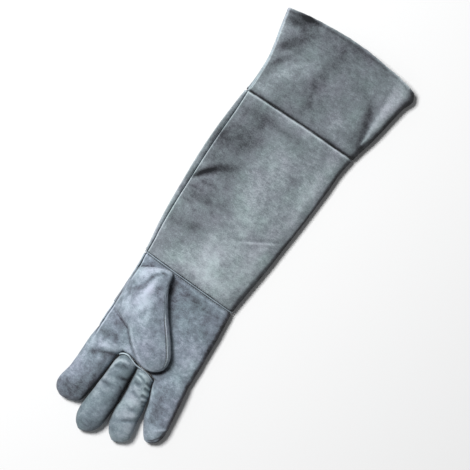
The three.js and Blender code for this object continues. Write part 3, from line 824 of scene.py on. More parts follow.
def grid_object(
    name: str, material: bpy.types.Material, grid: np.ndarray, tones: np.ndarray | float, ring: bool = False
) -> bpy.types.Object:
    """Makes one object of a grid of loops, as a ring or with closed ends.

    Args:
        name: the piece's name.
        material: its finish.
        grid: closed loops, shape (n, m, 3).
        tones: a tone for each point, or one number.
        ring: whether the last loop joins the first.

    Returns:
        The linked object.
    """
    skin = Skin()
    skin.add_grid(grid, tones, ring)
    return skin.to_object(name, material)


def vertex_array(mesh: bpy.types.Mesh, name: str) -> np.ndarray:
    """A vector property of a mesh's vertices, as an array (n, 3).

    Args:
        mesh: the mesh.
        name: a property of three numbers, such as co or normal.

    Returns:
        The array.
    """
    flat = np.empty(len(mesh.vertices) * 3)
    mesh.vertices.foreach_get(name, flat)
    return flat.reshape(-1, 3)


def signed_volume(mesh: bpy.types.Mesh) -> float:
    """Volume of a closed mesh, negative where its faces point inwards.

    Args:
        mesh: a closed mesh.

    Returns:
        Cubic metres.
    """
    mesh.calc_loop_triangles()
    corners = np.empty(len(mesh.loop_triangles) * 3, dtype=np.int32)
    mesh.loop_triangles.foreach_get("vertices", corners)
    a, b, c = (vertex_array(mesh, "co")[corners.reshape(-1, 3)[:, k]] for k in range(3))
    return float(np.einsum("ij,ij->i", a, np.cross(b, c)).sum() / 6)


def grid_normals(grid: np.ndarray) -> np.ndarray:
    """Unit normals of a grid of closed loops, pointing out of a tube.

    Args:
        grid: closed loops, shape (n, m, 3).

    Returns:
        Unit vectors of the same shape.
    """
    along = np.gradient(grid, axis=0)
    across = np.roll(grid, -1, axis=1) - np.roll(grid, 1, axis=1)
    normal = np.cross(across, along)
    normal /= np.maximum(np.linalg.norm(normal, axis=2, keepdims=True), 1e-9)
    centre = grid.mean(axis=1, keepdims=True)
    return normal if np.einsum("ijk,ijk->", normal, grid - centre) > 0 else -normal


def bead(path: np.ndarray, radius: float, closed: bool = False, sides: int = 8) -> np.ndarray:
    """Loops of a round cord along a path.

    Args:
        path: array (n, 3) of points.
        radius: the cord's radius.
        closed: whether the path comes back to its start.
        sides: points round the cord.

    Returns:
        Array (n, sides, 3).
    """
    run = np.roll(path, -1, axis=0) - np.roll(path, 1, axis=0) if closed else np.gradient(path, axis=0)
    run /= np.linalg.norm(run, axis=1, keepdims=True)
    reference = np.array([0.0, 0.0, 1.0]) if np.abs(run[:, 2]).max() < 0.9 else np.array([0.0, 1.0, 0.0])
    up = reference - run * (run @ reference)[:, None]
    up /= np.linalg.norm(up, axis=1, keepdims=True)
    side = np.cross(run, up)
    angle = np.linspace(0, 2 * math.pi, sides, endpoint=False)[None, :, None]
    return path[:, None] + radius * (up[:, None] * np.cos(angle) + side[:, None] * np.sin(angle))


def apply_modifiers(piece: bpy.types.Object) -> None:
    """Applies a piece's modifiers to its mesh.

    Args:
        piece: the object, whose modifiers are all applied and removed.
    """
    graph = bpy.context.evaluated_depsgraph_get()
    mesh = bpy.data.meshes.new_from_object(piece.evaluated_get(graph))
    piece.modifiers.clear()
    old = piece.data
    piece.data = mesh
    bpy.data.meshes.remove(old)


def crowded(count: int, both: bool = True) -> np.ndarray:
    """Shares from 0 to 1 that crowd together at both ends, or only at the far one.

    Args:
        count: how many shares.
        both: whether they crowd at the near end too.

    Returns:
        Rising shares.
    """
    k = np.linspace(0, 1, count)
    if both:
        return 0.4 * k + 0.6 * (0.5 - 0.5 * np.cos(math.pi * k))
    return 0.35 * k + 0.65 * np.sin(0.5 * math.pi * k)


def around(
    left: np.ndarray, right: np.ndarray, over_steps: int, under_steps: int
) -> tuple[np.ndarray, np.ndarray]:
    """Goes round sections, over the top from left to right and back beneath.

    Args:
        left: the sections' left edges, shape (n, 1).
        right: their right edges.
        over_steps: points over the top.
        under_steps: points beneath, with both edges.

    Returns:
        Positions across the sections, shape (n, m), and which are on top, shape (1, m).
    """
    over = left + (right - left) * crowded(over_steps)[None, :]
    beneath = right + (left - right) * crowded(under_steps)[None, 1:-1]
    x = np.concatenate([over, beneath], axis=1)
    return x, (np.arange(x.shape[1]) < over_steps)[None, :]


# Leather tubes


@dataclass(frozen=True)
class SideSeam:
    """The side seam: how far in from the outline it runs, and the shape of the two folded edges."""

    groove: float = 1.5
    lip: float = 0.75
    roll: float = 0.5
    full_inset: float = 6.0
    keys: tuple[float, ...] = (-284, -240, -200, -164, -145, -110, -70, -30, 10, 50, 82, 112, 150, 203)
    insets: tuple[float, ...] = (2.2, 2.2, 2.4, 2.8, 3.6, 4.8, 6.0, 7.0, 7.0, 6.0, 3.2, 1.8, 1.5, 1.5)

    def inset(self, y: np.ndarray) -> np.ndarray:
        """Distance from the outline to the seam at y."""
        return smooth_table(np.array(self.keys, dtype=float), np.array(self.insets), y)

    def _folds(
        self, away: np.ndarray, inset: np.ndarray, lip_width: float
    ) -> tuple[np.ndarray, np.ndarray, np.ndarray]:
        """The room that the folds have, from 0.2 to 1, and how much groove and lip there is."""
        room = np.clip(inset / self.full_inset, 0.2, 1)
        return room, hump(away, 0.5 + 0.5 * room), hump(away - 1.1 - 1.1 * room, lip_width)

    def relief(self, away: np.ndarray, inset: np.ndarray) -> np.ndarray:
        """Height of the folded edges and the groove between them.

        Args:
            away: distance from the seam, positive on the front panel.
            inset: how far in from the outline the seam runs there.

        Returns:
            Heights in millimetres.
        """
        room, groove, lip = self._folds(away, inset, 1.0)
        roll = self.roll * room * hump(away + 3.6, 1.6)
        return self.lip * lip + roll - self.groove * (0.6 + 0.8 * room) * groove

    def tone(self, away: np.ndarray, inset: np.ndarray, sewn: np.ndarray | float = 1.0) -> np.ndarray:
        """Tone beside the seam: painted shade in the groove, and painted highlights on the lip and on the outer fold,
        which face the light.

        Args:
            away: distance from the seam, positive on the front panel.
            inset: how far in from the outline the seam runs there.
            sewn: how deep and dark the groove is, from 0 to 1.

        Returns:
            Tones.
        """
        room, groove, lip = self._folds(away, inset, 0.85)
        rim = hump(away + inset, 1.1 + 0.6 * room)
        return 1.3 * lip + 0.9 * rim - sewn * (0.9 + room) * groove


SIDE = SideSeam()


@dataclass
class LeatherTube:
    """A flattened tube of leather with real walls, open at both ends."""

    name: str
    table: SectionTable
    marks: list[Mark | Line]
    relief: Relief
    low_y: float
    high_y: float
    hem: bool
    pitch: float = 1.45
    under_pitch: float = 2.2
    inner_pitch: float = 6.0
    strip_steps: int = 14
    lip_width: float = 4.4
    lip_steps: int = 11
    seam_roll: float = 2.0
    # inner_tone paints the inside of the tube darker, as shade.
    inner_tone: float = -0.35

    def _path(self) -> list[tuple[float, float, bool]]:
        """Stations (y, inset, outer) along the outside, round the far edge and back along the inside.

        Returns:
            The stations, in order.
        """
        roll = self.seam_roll
        far = 0.5 * WALL if self.hem else roll
        turns = np.linspace(0, 0.5 * math.pi, 6)
        path = [(self.low_y + roll * (1 - math.sin(a)), roll * (1 - math.cos(a)), True) for a in turns[::-1]]
        body = self.high_y - far - self.low_y - roll
        count = int(body / self.pitch)
        path += [(self.low_y + roll + body * k / count, 0.0, True) for k in range(1, count)]
        path += [(self.high_y - far * (1 - math.sin(a)), far * (1 - math.cos(a)), True) for a in turns]
        if self.hem:
            path += [(self.high_y - far * (1 - math.cos(a)), far * (1 + math.sin(a)), False) for a in turns[1:]]
        else:
            path.append((self.high_y - 0.4, WALL, False))
        inner_count = int((self.high_y - self.low_y) / self.inner_pitch)
        inner = np.linspace(self.high_y - 2 * far, self.low_y + 0.4, inner_count)
        return path + [(y, WALL, False) for y in inner]

    def _columns(self, s: Sections, inset: np.ndarray, seam_x: np.ndarray) -> tuple[np.ndarray, int]:
        """Positions across every section, close together beside the seam, and how many are on top.

        Args:
            s: the sections.
            inset: how far inside the outline the surface is.
            seam_x: where the side seam runs.

        Returns:
            Positions, shape (n, m), and a count.
        """
        left, right = s.left + inset, s.right - inset
        wide = float((right - left).mean())
        strip = left + (seam_x - left) * crowded(self.strip_steps)[None, :]
        lip = seam_x + self.lip_width * np.linspace(0, 1, self.lip_steps)[None, 1:]
        panel = seam_x + self.lip_width
        panel = panel + (right - panel) * crowded(int(wide / self.pitch), False)[None, 1:]
        under = right + (left - right) * crowded(int(wide / self.under_pitch))[None, 1:-1]
        top = np.concatenate([strip, lip, panel], axis=1)
        return np.concatenate([top, under], axis=1), top.shape[1]

    def build(self, material: bpy.types.Material) -> bpy.types.Object:
        """Makes the tube's object in the given finish.

        Args:
            material: the piece's finish.

        Returns:
            The linked object.
        """
        y, inset, outer = (np.array(column)[:, None] for column in zip(*self._path()))
        s = self.table.at(y)
        seam_x = np.maximum(s.left + SIDE.inset(y), s.left + inset + 0.8)
        x, top_count = self._columns(s, inset, seam_x)
        on_top = (np.arange(x.shape[1]) < top_count)[None, :]
        over = TUBE.top(s, x, inset, press_of(self.marks, x, y))
        grid = np.stack([x, s.set_in(x), np.where(on_top, over, TUBE.under(s, x, inset))], axis=-1)
        normals = grid_normals(grid)
        off = np.clip(np.abs(2 * x - s.left - s.right) / (s.right - s.left), 0, 1)
        shown = on_top & outer
        from_end = np.maximum(np.minimum(y - self.low_y, (self.high_y - y) * (4.0 if self.hem else 1.0)), 0)
        lift = np.where(on_top, self.relief.at(x, y) * (1 - 0.75 * off**10), 0.0)
        lift = lift + shown * SIDE.relief(x - seam_x, SIDE.inset(y)) * np.clip(from_end / 2, 0, 1)
        lift = lift + shown * self._end_relief(x, from_end)
        grid = grid + normals * lift[..., None]
        grid[..., 2] += np.where(on_top, 0.0, np.clip(self.relief.at(x + 91, y), 0, 1) * 0.5)
        grid[..., 2] = np.maximum(grid[..., 2], LEAST_HEIGHT)
        # Besides the marks' tones, the tube gets painted shade on the little finger side's flank, in the seams and
        # inside. It gets painted highlights on the side seam's lip and outer fold and at the ends.
        tones = tone_of(self.marks, x, y) + FLANK_SHADE.at(y, s.right - x) + self._end_tone(y, from_end)
        tones = tones + on_top * SIDE.tone(x - seam_x, seam_x - s.left, 0.15 if self.hem else 1.0)
        return grid_object(self.name, material, grid, np.where(outer, tones, self.inner_tone), ring=True)

    def _end_tone(self, y: np.ndarray, from_end: np.ndarray) -> np.ndarray:
        """Tone at the ends: painted shade in the seams, a painted highlight on the ridge beside the cuff's seam, and
        along the hem a painted highlight on its rounded edge with painted shade a little inside it.

        Args:
            y: positions along the tube.
            from_end: distance from the nearer end.

        Returns:
            Tones.
        """
        near_cuff = np.abs(y - CUFF_Y) < 12
        # Painted shade in the seams: on the cuff under the sleeve's overlapping edge, and in a narrow band at the
        # sleeve's ends.
        shade = 1.4 * hump(from_end, 2.2) + 0.5 * np.exp(-from_end / 5)
        dark = np.where(near_cuff & (y > CUFF_Y), shade, 0.8 * hump(from_end, 1.0) * (y < CUFF_Y))
        # A painted highlight on the sleeve's ridge beside the cuff's seam.
        ridge_highlight = hump(from_end - 2.0, 1.2) * (near_cuff & (y < CUFF_Y))
        # Along the hem: a painted highlight on the rounded edge and painted shade about 4 mm inside it.
        hem = np.maximum(self.high_y - y, 0)
        return 0.9 * ridge_highlight - dark + self.hem * (0.9 * hump(hem, 1.5) - 0.35 * hump(hem - 4.0, 1.6))

    def _end_relief(self, x: np.ndarray, from_end: np.ndarray) -> np.ndarray:
        """The ridge and the small puckers that the end seams draw up.

        Args:
            x: positions across the tube.
            from_end: distance from the nearer end.

        Returns:
            Heights in millimetres.
        """
        pucker = np.sin(x / 0.9 + 2.2 * np.sin(x / 7.0)) * np.exp(-from_end / 2.5)
        broad = np.sin(x / 2.7 + 1.7 * np.sin(x / 11.0)) * np.exp(-from_end / 7.0)
        return 0.1 * pucker + 0.14 * broad + 0.35 * hump(from_end - 2.2, 1.5)


@dataclass
class Finger:
    """A closed leather finger with a rounded tip."""

    name: str
    table: SectionTable
    base_y: float
    marks: list[Mark | Line]
    relief: Relief
    pitch: float = 1.1
    over_steps: int = 36
    under_steps: int = 26
    base_roll: float = 2.4
    tip_reach: float = 16.0
    tip_steps: int = 28
    tip_length: float = 1.1

    def _stations(self) -> Sections:
        """Sections from the base to the tip: the base is rolled in and the tip closed.

        Returns:
            The sections, as columns.
        """
        tip_y = self.table.tip_y
        turns = np.linspace(0, 0.5 * math.pi, 7)
        near_tip = tip_y + self.tip_reach
        body = np.linspace(self.base_y - self.base_roll, near_tip, int((self.base_y - near_tip) / self.pitch))
        ending = np.linspace(near_tip, tip_y, self.tip_steps)[1:]
        y = np.concatenate([self.base_y - self.base_roll * (1 - np.sin(turns[:0:-1])), body, ending])
        inset = np.concatenate([self.base_roll * (1 - np.cos(turns[:0:-1])), np.zeros(len(body) + len(ending))])
        y = np.concatenate([y, np.full(6, tip_y)])
        close = np.concatenate([np.zeros(len(inset)), turns[1:]])
        inset = np.concatenate([inset, np.zeros(6)])
        s = self.table.at(y)
        fall = np.maximum(self.table.at(near_tip).top - s.top, 0) * (y < near_tip)
        low, top = 0.4 * fall + inset, s.top - inset
        left, right = s.left + inset, s.right - inset
        keep = np.maximum(np.cos(close), 0.04)
        centre, middle = 0.5 * (left + right), 0.5 * (low + top)
        return Sections(
            y=y - self.tip_length * np.sin(close),
            left=centre + (left - centre) * keep,
            right=centre + (right - centre) * keep,
            top=middle + (top - middle) * keep,
            tilt=s.tilt,
            bow=s.bow,
            low=middle + (low - middle) * keep,
        ).column()

    def surface(self) -> tuple[np.ndarray, np.ndarray]:
        """The finger's surface.

        Returns:
            Loops of points, shape (n, m, 3), and their tones, shape (n, m).
        """
        s = self._stations()
        x, on_top = around(s.left, s.right, self.over_steps, self.under_steps)
        place_y = s.set_in(x)
        size = np.clip((s.top - s.low) / (0.8 * self.table.tallest), 0.05, 1)
        press = press_of(self.marks, x, place_y) * size
        grid = np.stack([x, place_y, np.where(on_top, FINGER.top(s, x, 0.0, press), FINGER.under(s, x))], axis=-1)
        lift = np.where(on_top, self.relief.at(x, place_y) * size, 0.0)
        grid = grid + grid_normals(grid) * lift[..., None]
        grid[..., 2] = np.maximum(grid[..., 2], LEAST_HEIGHT)
        return grid, tone_of(self.marks, x, place_y)

    def build(self, material: bpy.types.Material) -> bpy.types.Object:
        """Makes the finger's object in the given finish."""
        return grid_object(self.name, material, *self.surface())


@dataclass
class Hand:
    """Palm, back, index finger and little finger, cut as one shell and joined without a line."""

    name: str = "hand_leather"
    voxel_mm: float = 0.95
    hollow_voxel_mm: float = 2.5
    over_steps: int = 110
    under_steps: int = 70
    wrist_y: float = -165.1
    wrist_roll: float = 2.2
    finger_y: float = -282.2
    finger_roll: float = 4.0
    palm_end: float = -286.0
    root_y: float = -258.0
    index_from: float = -290.0
    little_from: float = -278.0
    tip_loops: int = 24
    relief: Relief = field(default_factory=lambda: Relief(4, slack=0.45))

    def _palm(self, inset: float) -> np.ndarray:
        """Loops round the palm, rolled in at the wrist and rounded off between the fingers.

        Args:
            inset: 0 for the outside, or the wall for the hollow, which runs out past the wrist.

        Returns:
            Array (n, m, 3).
        """
        if inset:
            stations = [(y, inset) for y in np.linspace(-160, -281, 50)]
        else:
            turns = np.linspace(0, 0.5 * math.pi, 7)
            roll, turn = self.wrist_roll, self.finger_roll
            stations = [(self.wrist_y - roll * (1 - math.sin(a)), roll * (1 - math.cos(a))) for a in turns[::-1]]
            stations += [(y, 0.0) for y in np.linspace(-168.4, -281.6, 90)]
            stations += [(self.finger_y - turn * math.sin(a), turn * (1 - math.cos(a))) for a in turns]
        y, inward = (np.array(column)[:, None] for column in zip(*stations))
        s = PALM.at(y)
        x, on_top = around(s.left + inward, s.right - inward, self.over_steps, self.under_steps)
        z = np.where(on_top, TUBE.top(s, x, inward), TUBE.under(s, x, inward))
        return np.stack([x, s.set_in(x), z], axis=-1)

    def _joined(self, name: str, inset: float, voxel_mm: float, material: bpy.types.Material) -> bpy.types.Object:
        """The palm and the two fingers run together, or the hollow inside them.

        Args:
            name: the object's name.
            inset: 0 for the skin, or the wall for the hollow.
            voxel_mm: how finely they are joined.
            material: the finish.

        Returns:
            The linked object.
        """
        skin = Skin()
        skin.add_grid(self._palm(inset))
        for table in (INDEX, LITTLE):
            grid = Finger(name, table, self.root_y, [], Relief(5, 0.3, 0.1, 0.1)).surface()[0]
            if inset:
                reach = 0.3 * np.abs(grid - grid.mean(axis=1, keepdims=True)).max()
                grid = (grid - grid_normals(grid) * np.minimum(inset, reach))[: -self.tip_loops]
            skin.add_grid(grid)
        piece = skin.to_object(name, material)
        remesh = piece.modifiers.new("join", "REMESH")
        remesh.mode = "VOXEL"
        remesh.voxel_size = voxel_mm / 1000
        soften = piece.modifiers.new("soften", "SMOOTH")
        soften.iterations = 8
        apply_modifiers(piece)
        return piece

    def build(self, material: bpy.types.Material) -> bpy.types.Object:
        """Makes the hand's object in the given finish.

        Args:
            material: the piece's finish.

        Returns:
            The linked object.
        """
        piece = self._joined(self.name, 0.0, self.voxel_mm, material)
        self._dress(piece.data)
        hollow = self._joined("hollow", WALL, self.hollow_voxel_mm, material)
        cut = piece.modifiers.new("hollow", "BOOLEAN")
        cut.operation = "DIFFERENCE"
        cut.solver = "MANIFOLD"
        cut.object = hollow
        apply_modifiers(piece)
        bpy.data.objects.remove(hollow)
        mesh = piece.data
        mesh.polygons.foreach_set("use_smooth", np.ones(len(mesh.polygons), dtype=bool))
        return piece

    def _dress(self, mesh: bpy.types.Mesh) -> None:
        """Presses the folds, the seam and the relief into the joined skin, and stores its tone.

        Args:
            mesh: the joined skin.
        """
        points = FRAME.to_pattern(vertex_array(mesh, "co"))
        normals = vertex_array(mesh, "normal")
        x, y, _ = points.T
        palm = PALM.at(np.maximum(y, self.palm_end))
        left = np.where(y > self.index_from, palm.left, INDEX.at(np.minimum(y, self.index_from)).left)
        right = np.where(y > self.little_from, palm.right, LITTLE.at(np.minimum(y, self.little_from)).right)
        inset = SIDE.inset(y)
        seam_x = left + inset
        up = np.clip(normals[:, 2] * 1.8 + 0.3, 0, 1)
        lift = self.relief.at(x, y) * up - press_of(HAND_MARKS, x, y) * up
        lift += 0.7 * SIDE.relief(x - seam_x, inset) * up * np.clip((y + 262) / 26, 0, 1)
        points = points + normals * lift[:, None]
        points[:, 2] = np.maximum(points[:, 2], LEAST_HEIGHT)
        mesh.vertices.foreach_set("co", FRAME.to_metres(points).reshape(-1))
        # Besides the marks' tones: painted shade on the little finger side's flank, in the side seam's groove and
        # where the edge rolls into the wrist seam, and painted highlights on the side seam's lip and outer fold.
        sewn = up * np.clip((y + 290) / 18, 0, 1)
        wrist = np.exp(-np.maximum(self.wrist_y + WRIST_TILT * x - y, 0) / 1.4)
        flank = FLANK_SHADE.at(y, right - x) * np.clip((x - 40) / 10, 0, 1)
        values = tone_of(HAND_MARKS, x, y) + flank - 0.3 * wrist + sewn * SIDE.tone(x - seam_x, inset)
        tone = mesh.attributes.get("tone") or mesh.attributes.new("tone", "FLOAT", "POINT")
        tone.data.foreach_set("value", values.astype(np.float32))
        mesh.update()


@dataclass(frozen=True)
class ThumbSections:
    """Sections of the thumb, each from its edge nearer the index finger to its edge nearer the wrist."""

    lx: np.ndarray
    ly: np.ndarray
    rx: np.ndarray
    ry: np.ndarray
    thick: np.ndarray
    sink: np.ndarray

    def width(self) -> np.ndarray:
        """Distance between the two edges."""
        return np.hypot(self.rx - self.lx, self.ry - self.ly)

    def cut(self, start: int, stop: int) -> "ThumbSections":
        """The sections from one index up to another."""
        return ThumbSections(*(getattr(self, f.name)[start:stop] for f in fields(self)))


@dataclass
class Thumb:
    """The thumb, sewn in at the side and folded over the palm."""

    name: str = "thumb_leather"
    seam_inset: float = 4.5
    row_start: float = -208.0
    row_inset: float = 1.9
    clearance: float = 0.3
    stations: int = 170
    top_steps: int = 84
    under_steps: int = 30
    relief: Relief = field(default_factory=lambda: Relief(9, slack=0.35))
    # Each row: lx, ly, rx, ry, thick and sink of ThumbSections.
    rows: tuple[tuple[float, ...], ...] = (
        (-71.6, -238, -71.6, -188, -2, 4),
        (-69.2, -240, -69.2, -184, 7, 6),
        (-62.5, -244, -57.5, -175.5, 14, 8),
        (-54.0, -247, -43.0, -168, 19, 8),
        (-46.0, -250, -28.0, -165.4, 21, 6),
        (-38.0, -253, -22.6, -181, 22, 0.4),
        (-29.0, -261.5, -13.0, -198, 22, 0),
        (-19.5, -270.5, 0.0, -216, 22, 0),
        (-10.5, -278.0, 11.5, -230, 21.5, 0),
        (-1.0, -283.4, 22.0, -244, 20, -0.6),
        (9.4, -286, 29.4, -255.4, 17, -1.6),
        (18.4, -284.4, 31.6, -264.8, 13, -3.4),
        (25.0, -280.2, 31.0, -271.6, 9.4, -5.4),
        (28.0, -277.2, 30.2, -274.2, 7.6, -6.6),
    )

    def _read(self) -> ThumbSections:
        """The sections at evenly spaced stations along the thumb.

        Returns:
            The sections, as columns.
        """
        raw = ThumbSections(*np.array(self.rows, dtype=float).T)
        step = np.hypot(np.diff(raw.lx), np.diff(raw.ly)) + np.hypot(np.diff(raw.rx), np.diff(raw.ry))
        keys = np.concatenate([[0], np.cumsum(step)])
        at = np.linspace(0, keys[-1], self.stations)
        return ThumbSections(*(smooth_table(keys, getattr(raw, f.name), at)[:, None] for f in fields(raw)))

    def _surface(self, rows: ThumbSections, share: np.ndarray, over: bool) -> np.ndarray:
        """Points of the thumb.

        Args:
            rows: the sections, n of them.
            share: shares of the width, shape (1, m) or (n, 1).
            over: the top, or the side that lies on the palm.

        Returns:
            Array (n, m, 3).
        """
        x = rows.lx + (rows.rx - rows.lx) * share
        y = rows.ly + (rows.ry - rows.ly) * share
        seat = TUBE.top(PALM.at(np.maximum(y, -268)), x) + self.clearance
        low, high = seat - rows.sink, seat + rows.thick
        edge = low + 0.42 * (high - low)
        off = np.abs(2 * share - 1)
        if over:
            z = edge + (high - edge - press_of(THUMB_MARKS, x, y)) * np.sqrt(1 - off**2.4)
        else:
            z = edge - (edge - low) * np.sqrt(1 - off**5)
        return np.stack([x, y, z], axis=-1)

    def shown(self, y: np.ndarray) -> np.ndarray:
        """How far the seam row shows at y: near the wrist the leather rolls over it."""
        return np.clip((self.row_start - y) / 12, 0, 1)

    def seam(self) -> tuple[np.ndarray, np.ndarray]:
        """Points and unit normals along the seam near the thumb's right edge.

        Returns:
            Two arrays of shape (n, 3).
        """
        rows = self._read().cut(int(0.35 * self.stations), int(0.93 * self.stations))
        share = 1 - self.seam_inset / rows.width()
        at = self._surface(rows, share, True)[:, 0]
        near = self._surface(rows, share - 0.03, True)[:, 0]
        normal = np.cross(np.gradient(at, axis=0), near - at)
        normal /= np.linalg.norm(normal, axis=1, keepdims=True)
        return at, normal * np.sign(normal[:, 2:3])

    def build(self, material: bpy.types.Material) -> bpy.types.Object:
        """Makes the thumb's object in the given finish.

        Args:
            material: the piece's finish.

        Returns:
            The linked object.
        """
        rows = self._read()
        share = crowded(self.top_steps)[None, :]
        over = self._surface(rows, share, True)
        beneath = self._surface(rows, crowded(self.under_steps)[None, ::-1][:, 1:-1], False)
        grid = np.concatenate([over, beneath], axis=1)
        on_top = (np.arange(grid.shape[1]) < self.top_steps)[None, :]
        station = np.arange(self.stations)[:, None] / self.stations
        sewn = np.clip((station - 0.3) * 12, 0, 1) * np.clip((0.96 - station) * 16, 0, 1)
        inward = np.zeros(grid.shape[:2])
        inward[:, : self.top_steps] = (1 - share) * rows.width() - self.seam_inset
        seam = hump(inward, 0.9) * on_top * sewn
        lip = hump(inward - self.row_inset, 1.0) * on_top * sewn
        shape = self.relief.at(grid[..., 0], grid[..., 1]) * on_top - seam + 0.35 * lip
        grid = grid + grid_normals(grid) * shape[..., None]
        row = hump(inward - self.row_inset, 0.8) * on_top * sewn
        tones = tone_of(THUMB_MARKS, grid[..., 0], grid[..., 1]) - 1.2 * (seam + row) * self.shown(grid[..., 1])
        left = share * rows.width()
        # Along the thumb's edge nearer the index finger, where it meets the palm: painted shade at the edge and a
        # painted highlight just inside it.
        tones[:, : self.top_steps] += (0.45 * hump(left - 3.6, 1.8) - 0.6 * hump(left, 1.3)) * sewn
        return grid_object(self.name, material, grid, tones)


# Welts and stitches


@dataclass
class Piping:
    """The welts that stand in the seams."""

    pitch: float = 2.5
    side_radius: float = 0.8
    side_sunk: float = 0.9
    wrist_radius: float = 0.85
    wrist_sunk: float = 0.75
    knuckle_radius: float = 1.0
    thumb_radius: float = 0.75
    thumb_sunk: float = 0.45
    over_steps: int = 120
    under_steps: int = 80

    def side(self, material: bpy.types.Material) -> bpy.types.Object:
        """The welt of the side seam, from the hem to the index finger.

        Args:
            material: the piece's finish.

        Returns:
            The linked object.
        """
        spans = ((CUFF, 196.5, CUFF_Y + 0.3), (SLEEVE, CUFF_Y - 0.3, WRIST_Y + 1.4), (PALM, WRIST_Y - 1.4, -284.0))
        path = []
        for table, start, stop in spans:
            y = np.linspace(start, stop, int(abs(start - stop) / self.pitch))
            s = table.at(y)
            x = s.left + SIDE.inset(y)
            path.append(np.stack([x, s.set_in(x), TUBE.top(s, x) - self.side_sunk], axis=-1))
        beads = bead(np.concatenate(path), self.side_radius)
        # Below the cuff the welt is painted dark, as shade in the groove that it is sunk in; on the cuff it is paler.
        return grid_object("side_piping", material, beads, np.where(beads[..., 1] > CUFF_Y, 0.6, -1.3))

    def wrist(self, material: bpy.types.Material) -> bpy.types.Object:
        """The welt round the wrist seam, sunk a little below the leather.

        Args:
            material: the piece's finish.

        Returns:
            The linked object.
        """
        s = SLEEVE.at(np.array([WRIST_Y + 1.0]))
        x, on_top = around(s.left + self.wrist_sunk, s.right - self.wrist_sunk, self.over_steps, self.under_steps)
        low = np.maximum(TUBE.under(s, x, self.wrist_sunk), self.wrist_radius + LEAST_HEIGHT)
        z = np.where(on_top, TUBE.top(s, x, self.wrist_sunk), low)
        path = np.stack([x, WRIST_Y + WRIST_TILT * x, z], axis=-1)[0]
        return grid_object("wrist_piping", material, bead(path, self.wrist_radius, closed=True), 0.0, ring=True)

    def knuckle(self, material: bpy.types.Material) -> bpy.types.Object:
        """The welt that arches over the bases of the two set-in fingers.

        Args:
            material: the piece's finish.

        Returns:
            The linked object.
        """
        keys = np.array([-28, -24, -17.5, -10, -2.5, 8.8, 18.8, 27.4])
        line = np.array([-289.6, -285.6, -283.6, -285.8, -288.4, -288.8, -290.7, -295.0])
        x = np.linspace(keys[0], keys[-1], 70)
        t = (x - keys[0]) / (keys[-1] - keys[0])
        z = 10.0 + 12.4 * np.maximum(1 - np.abs(2 * t - 1) ** 4, 0) ** 0.5
        path = np.stack([x, smooth_table(keys, line, x), z], axis=-1)
        beads = bead(path, self.knuckle_radius)
        return grid_object("knuckle_piping", material, beads, 0.1 + 1.1 * hump(beads[..., 0] + 22, 7))

    def thumb(self, thumb: Thumb, material: bpy.types.Material) -> bpy.types.Object:
        """The welt along the thumb's right edge.

        Args:
            thumb: the thumb that it is sewn to.
            material: the piece's finish.

        Returns:
            The linked object.
        """
        at, normal = thumb.seam()
        beads = bead(at - self.thumb_sunk * normal, self.thumb_radius)
        # Near the wrist, where the leather rolls over the welt, it is painted dark, as shade.
        return grid_object("thumb_piping", material, beads, 0.9 - 1.2 * (1 - thumb.shown(beads[..., 1])))


@dataclass
class Stitching:
    """Rows of sewn thread."""

    stitch: float = 2.5
    gap: float = 0.8
    radius: float = 0.25
    from_seam: float = 2.1

    def _row(self, path: np.ndarray, normal: np.ndarray, skin: Skin) -> None:
        """Adds one row of stitches along a path that lies on the leather.

        Args:
            path: points on the leather, shape (n, 3).
            normal: the unit normals there.
            skin: the mesh that the stitches are added to.
        """
        length = np.concatenate([[0], np.cumsum(np.linalg.norm(np.diff(path, axis=0), axis=1))])
        start = 0.0
        while start + self.stitch < length[-1]:
            at = start + np.linspace(0, self.stitch, 6)
            points = np.stack([np.interp(at, length, path[:, k]) for k in range(3)], axis=-1)
            out = np.stack([np.interp(at, length, normal[:, k]) for k in range(3)], axis=-1)
            arch = np.sin(np.linspace(0, math.pi, 6))[:, None]
            skin.add_grid(bead(points + out * (0.34 * arch - 0.12), self.radius, sides=6), 0.1)
            start += self.stitch + self.gap

    def thumb(self, thumb: Thumb, material: bpy.types.Material) -> bpy.types.Object:
        """Stitches beside the thumb's welt.

        Args:
            thumb: the thumb that they are sewn through.
            material: the thread's finish.

        Returns:
            The linked object.
        """
        at, normal = thumb.seam()
        run = np.gradient(at, axis=0)
        run /= np.linalg.norm(run, axis=1, keepdims=True)
        inward = np.cross(normal, run)
        if inward[:, 0].mean() > 0:
            inward = -inward
        skin = Skin()
        clear = at[:, 1] < thumb.row_start - 8
        self._row((at + inward * thumb.row_inset + normal * 0.45)[clear], normal[clear], skin)
        return skin.to_object("thumb_stitches", material)

    def wrist(self, material: bpy.types.Material) -> bpy.types.Object:
        """Stitches on both sides of the wrist welt, over the top of the arm.

        Args:
            material: the thread's finish.

        Returns:
            The linked object.
        """
        skin = Skin()
        s = SLEEVE.at(np.array([WRIST_Y + 1.0]))
        x = np.linspace(-66.0, 58.0, 160)
        z = TUBE.top(s, x) + 0.18
        normal = np.stack([-np.gradient(z, x), np.zeros_like(x), np.ones_like(x)], axis=-1)
        normal /= np.linalg.norm(normal, axis=1, keepdims=True)
        for away in (self.from_seam, -self.from_seam):
            self._row(np.stack([x, WRIST_Y + away + WRIST_TILT * x, z], axis=-1), normal, skin)
        return skin.to_object("wrist_stitches", material)


# Finishes


def linear(hex_colour: str) -> tuple[float, float, float, float]:
    """Turns an sRGB hex colour into linear RGBA."""
    parts = [int(hex_colour[k : k + 2], 16) / 255 for k in (1, 3, 5)]
    return (*(p / 12.92 if p <= 0.04045 else ((p + 0.055) / 1.055) ** 2.4 for p in parts), 1.0)


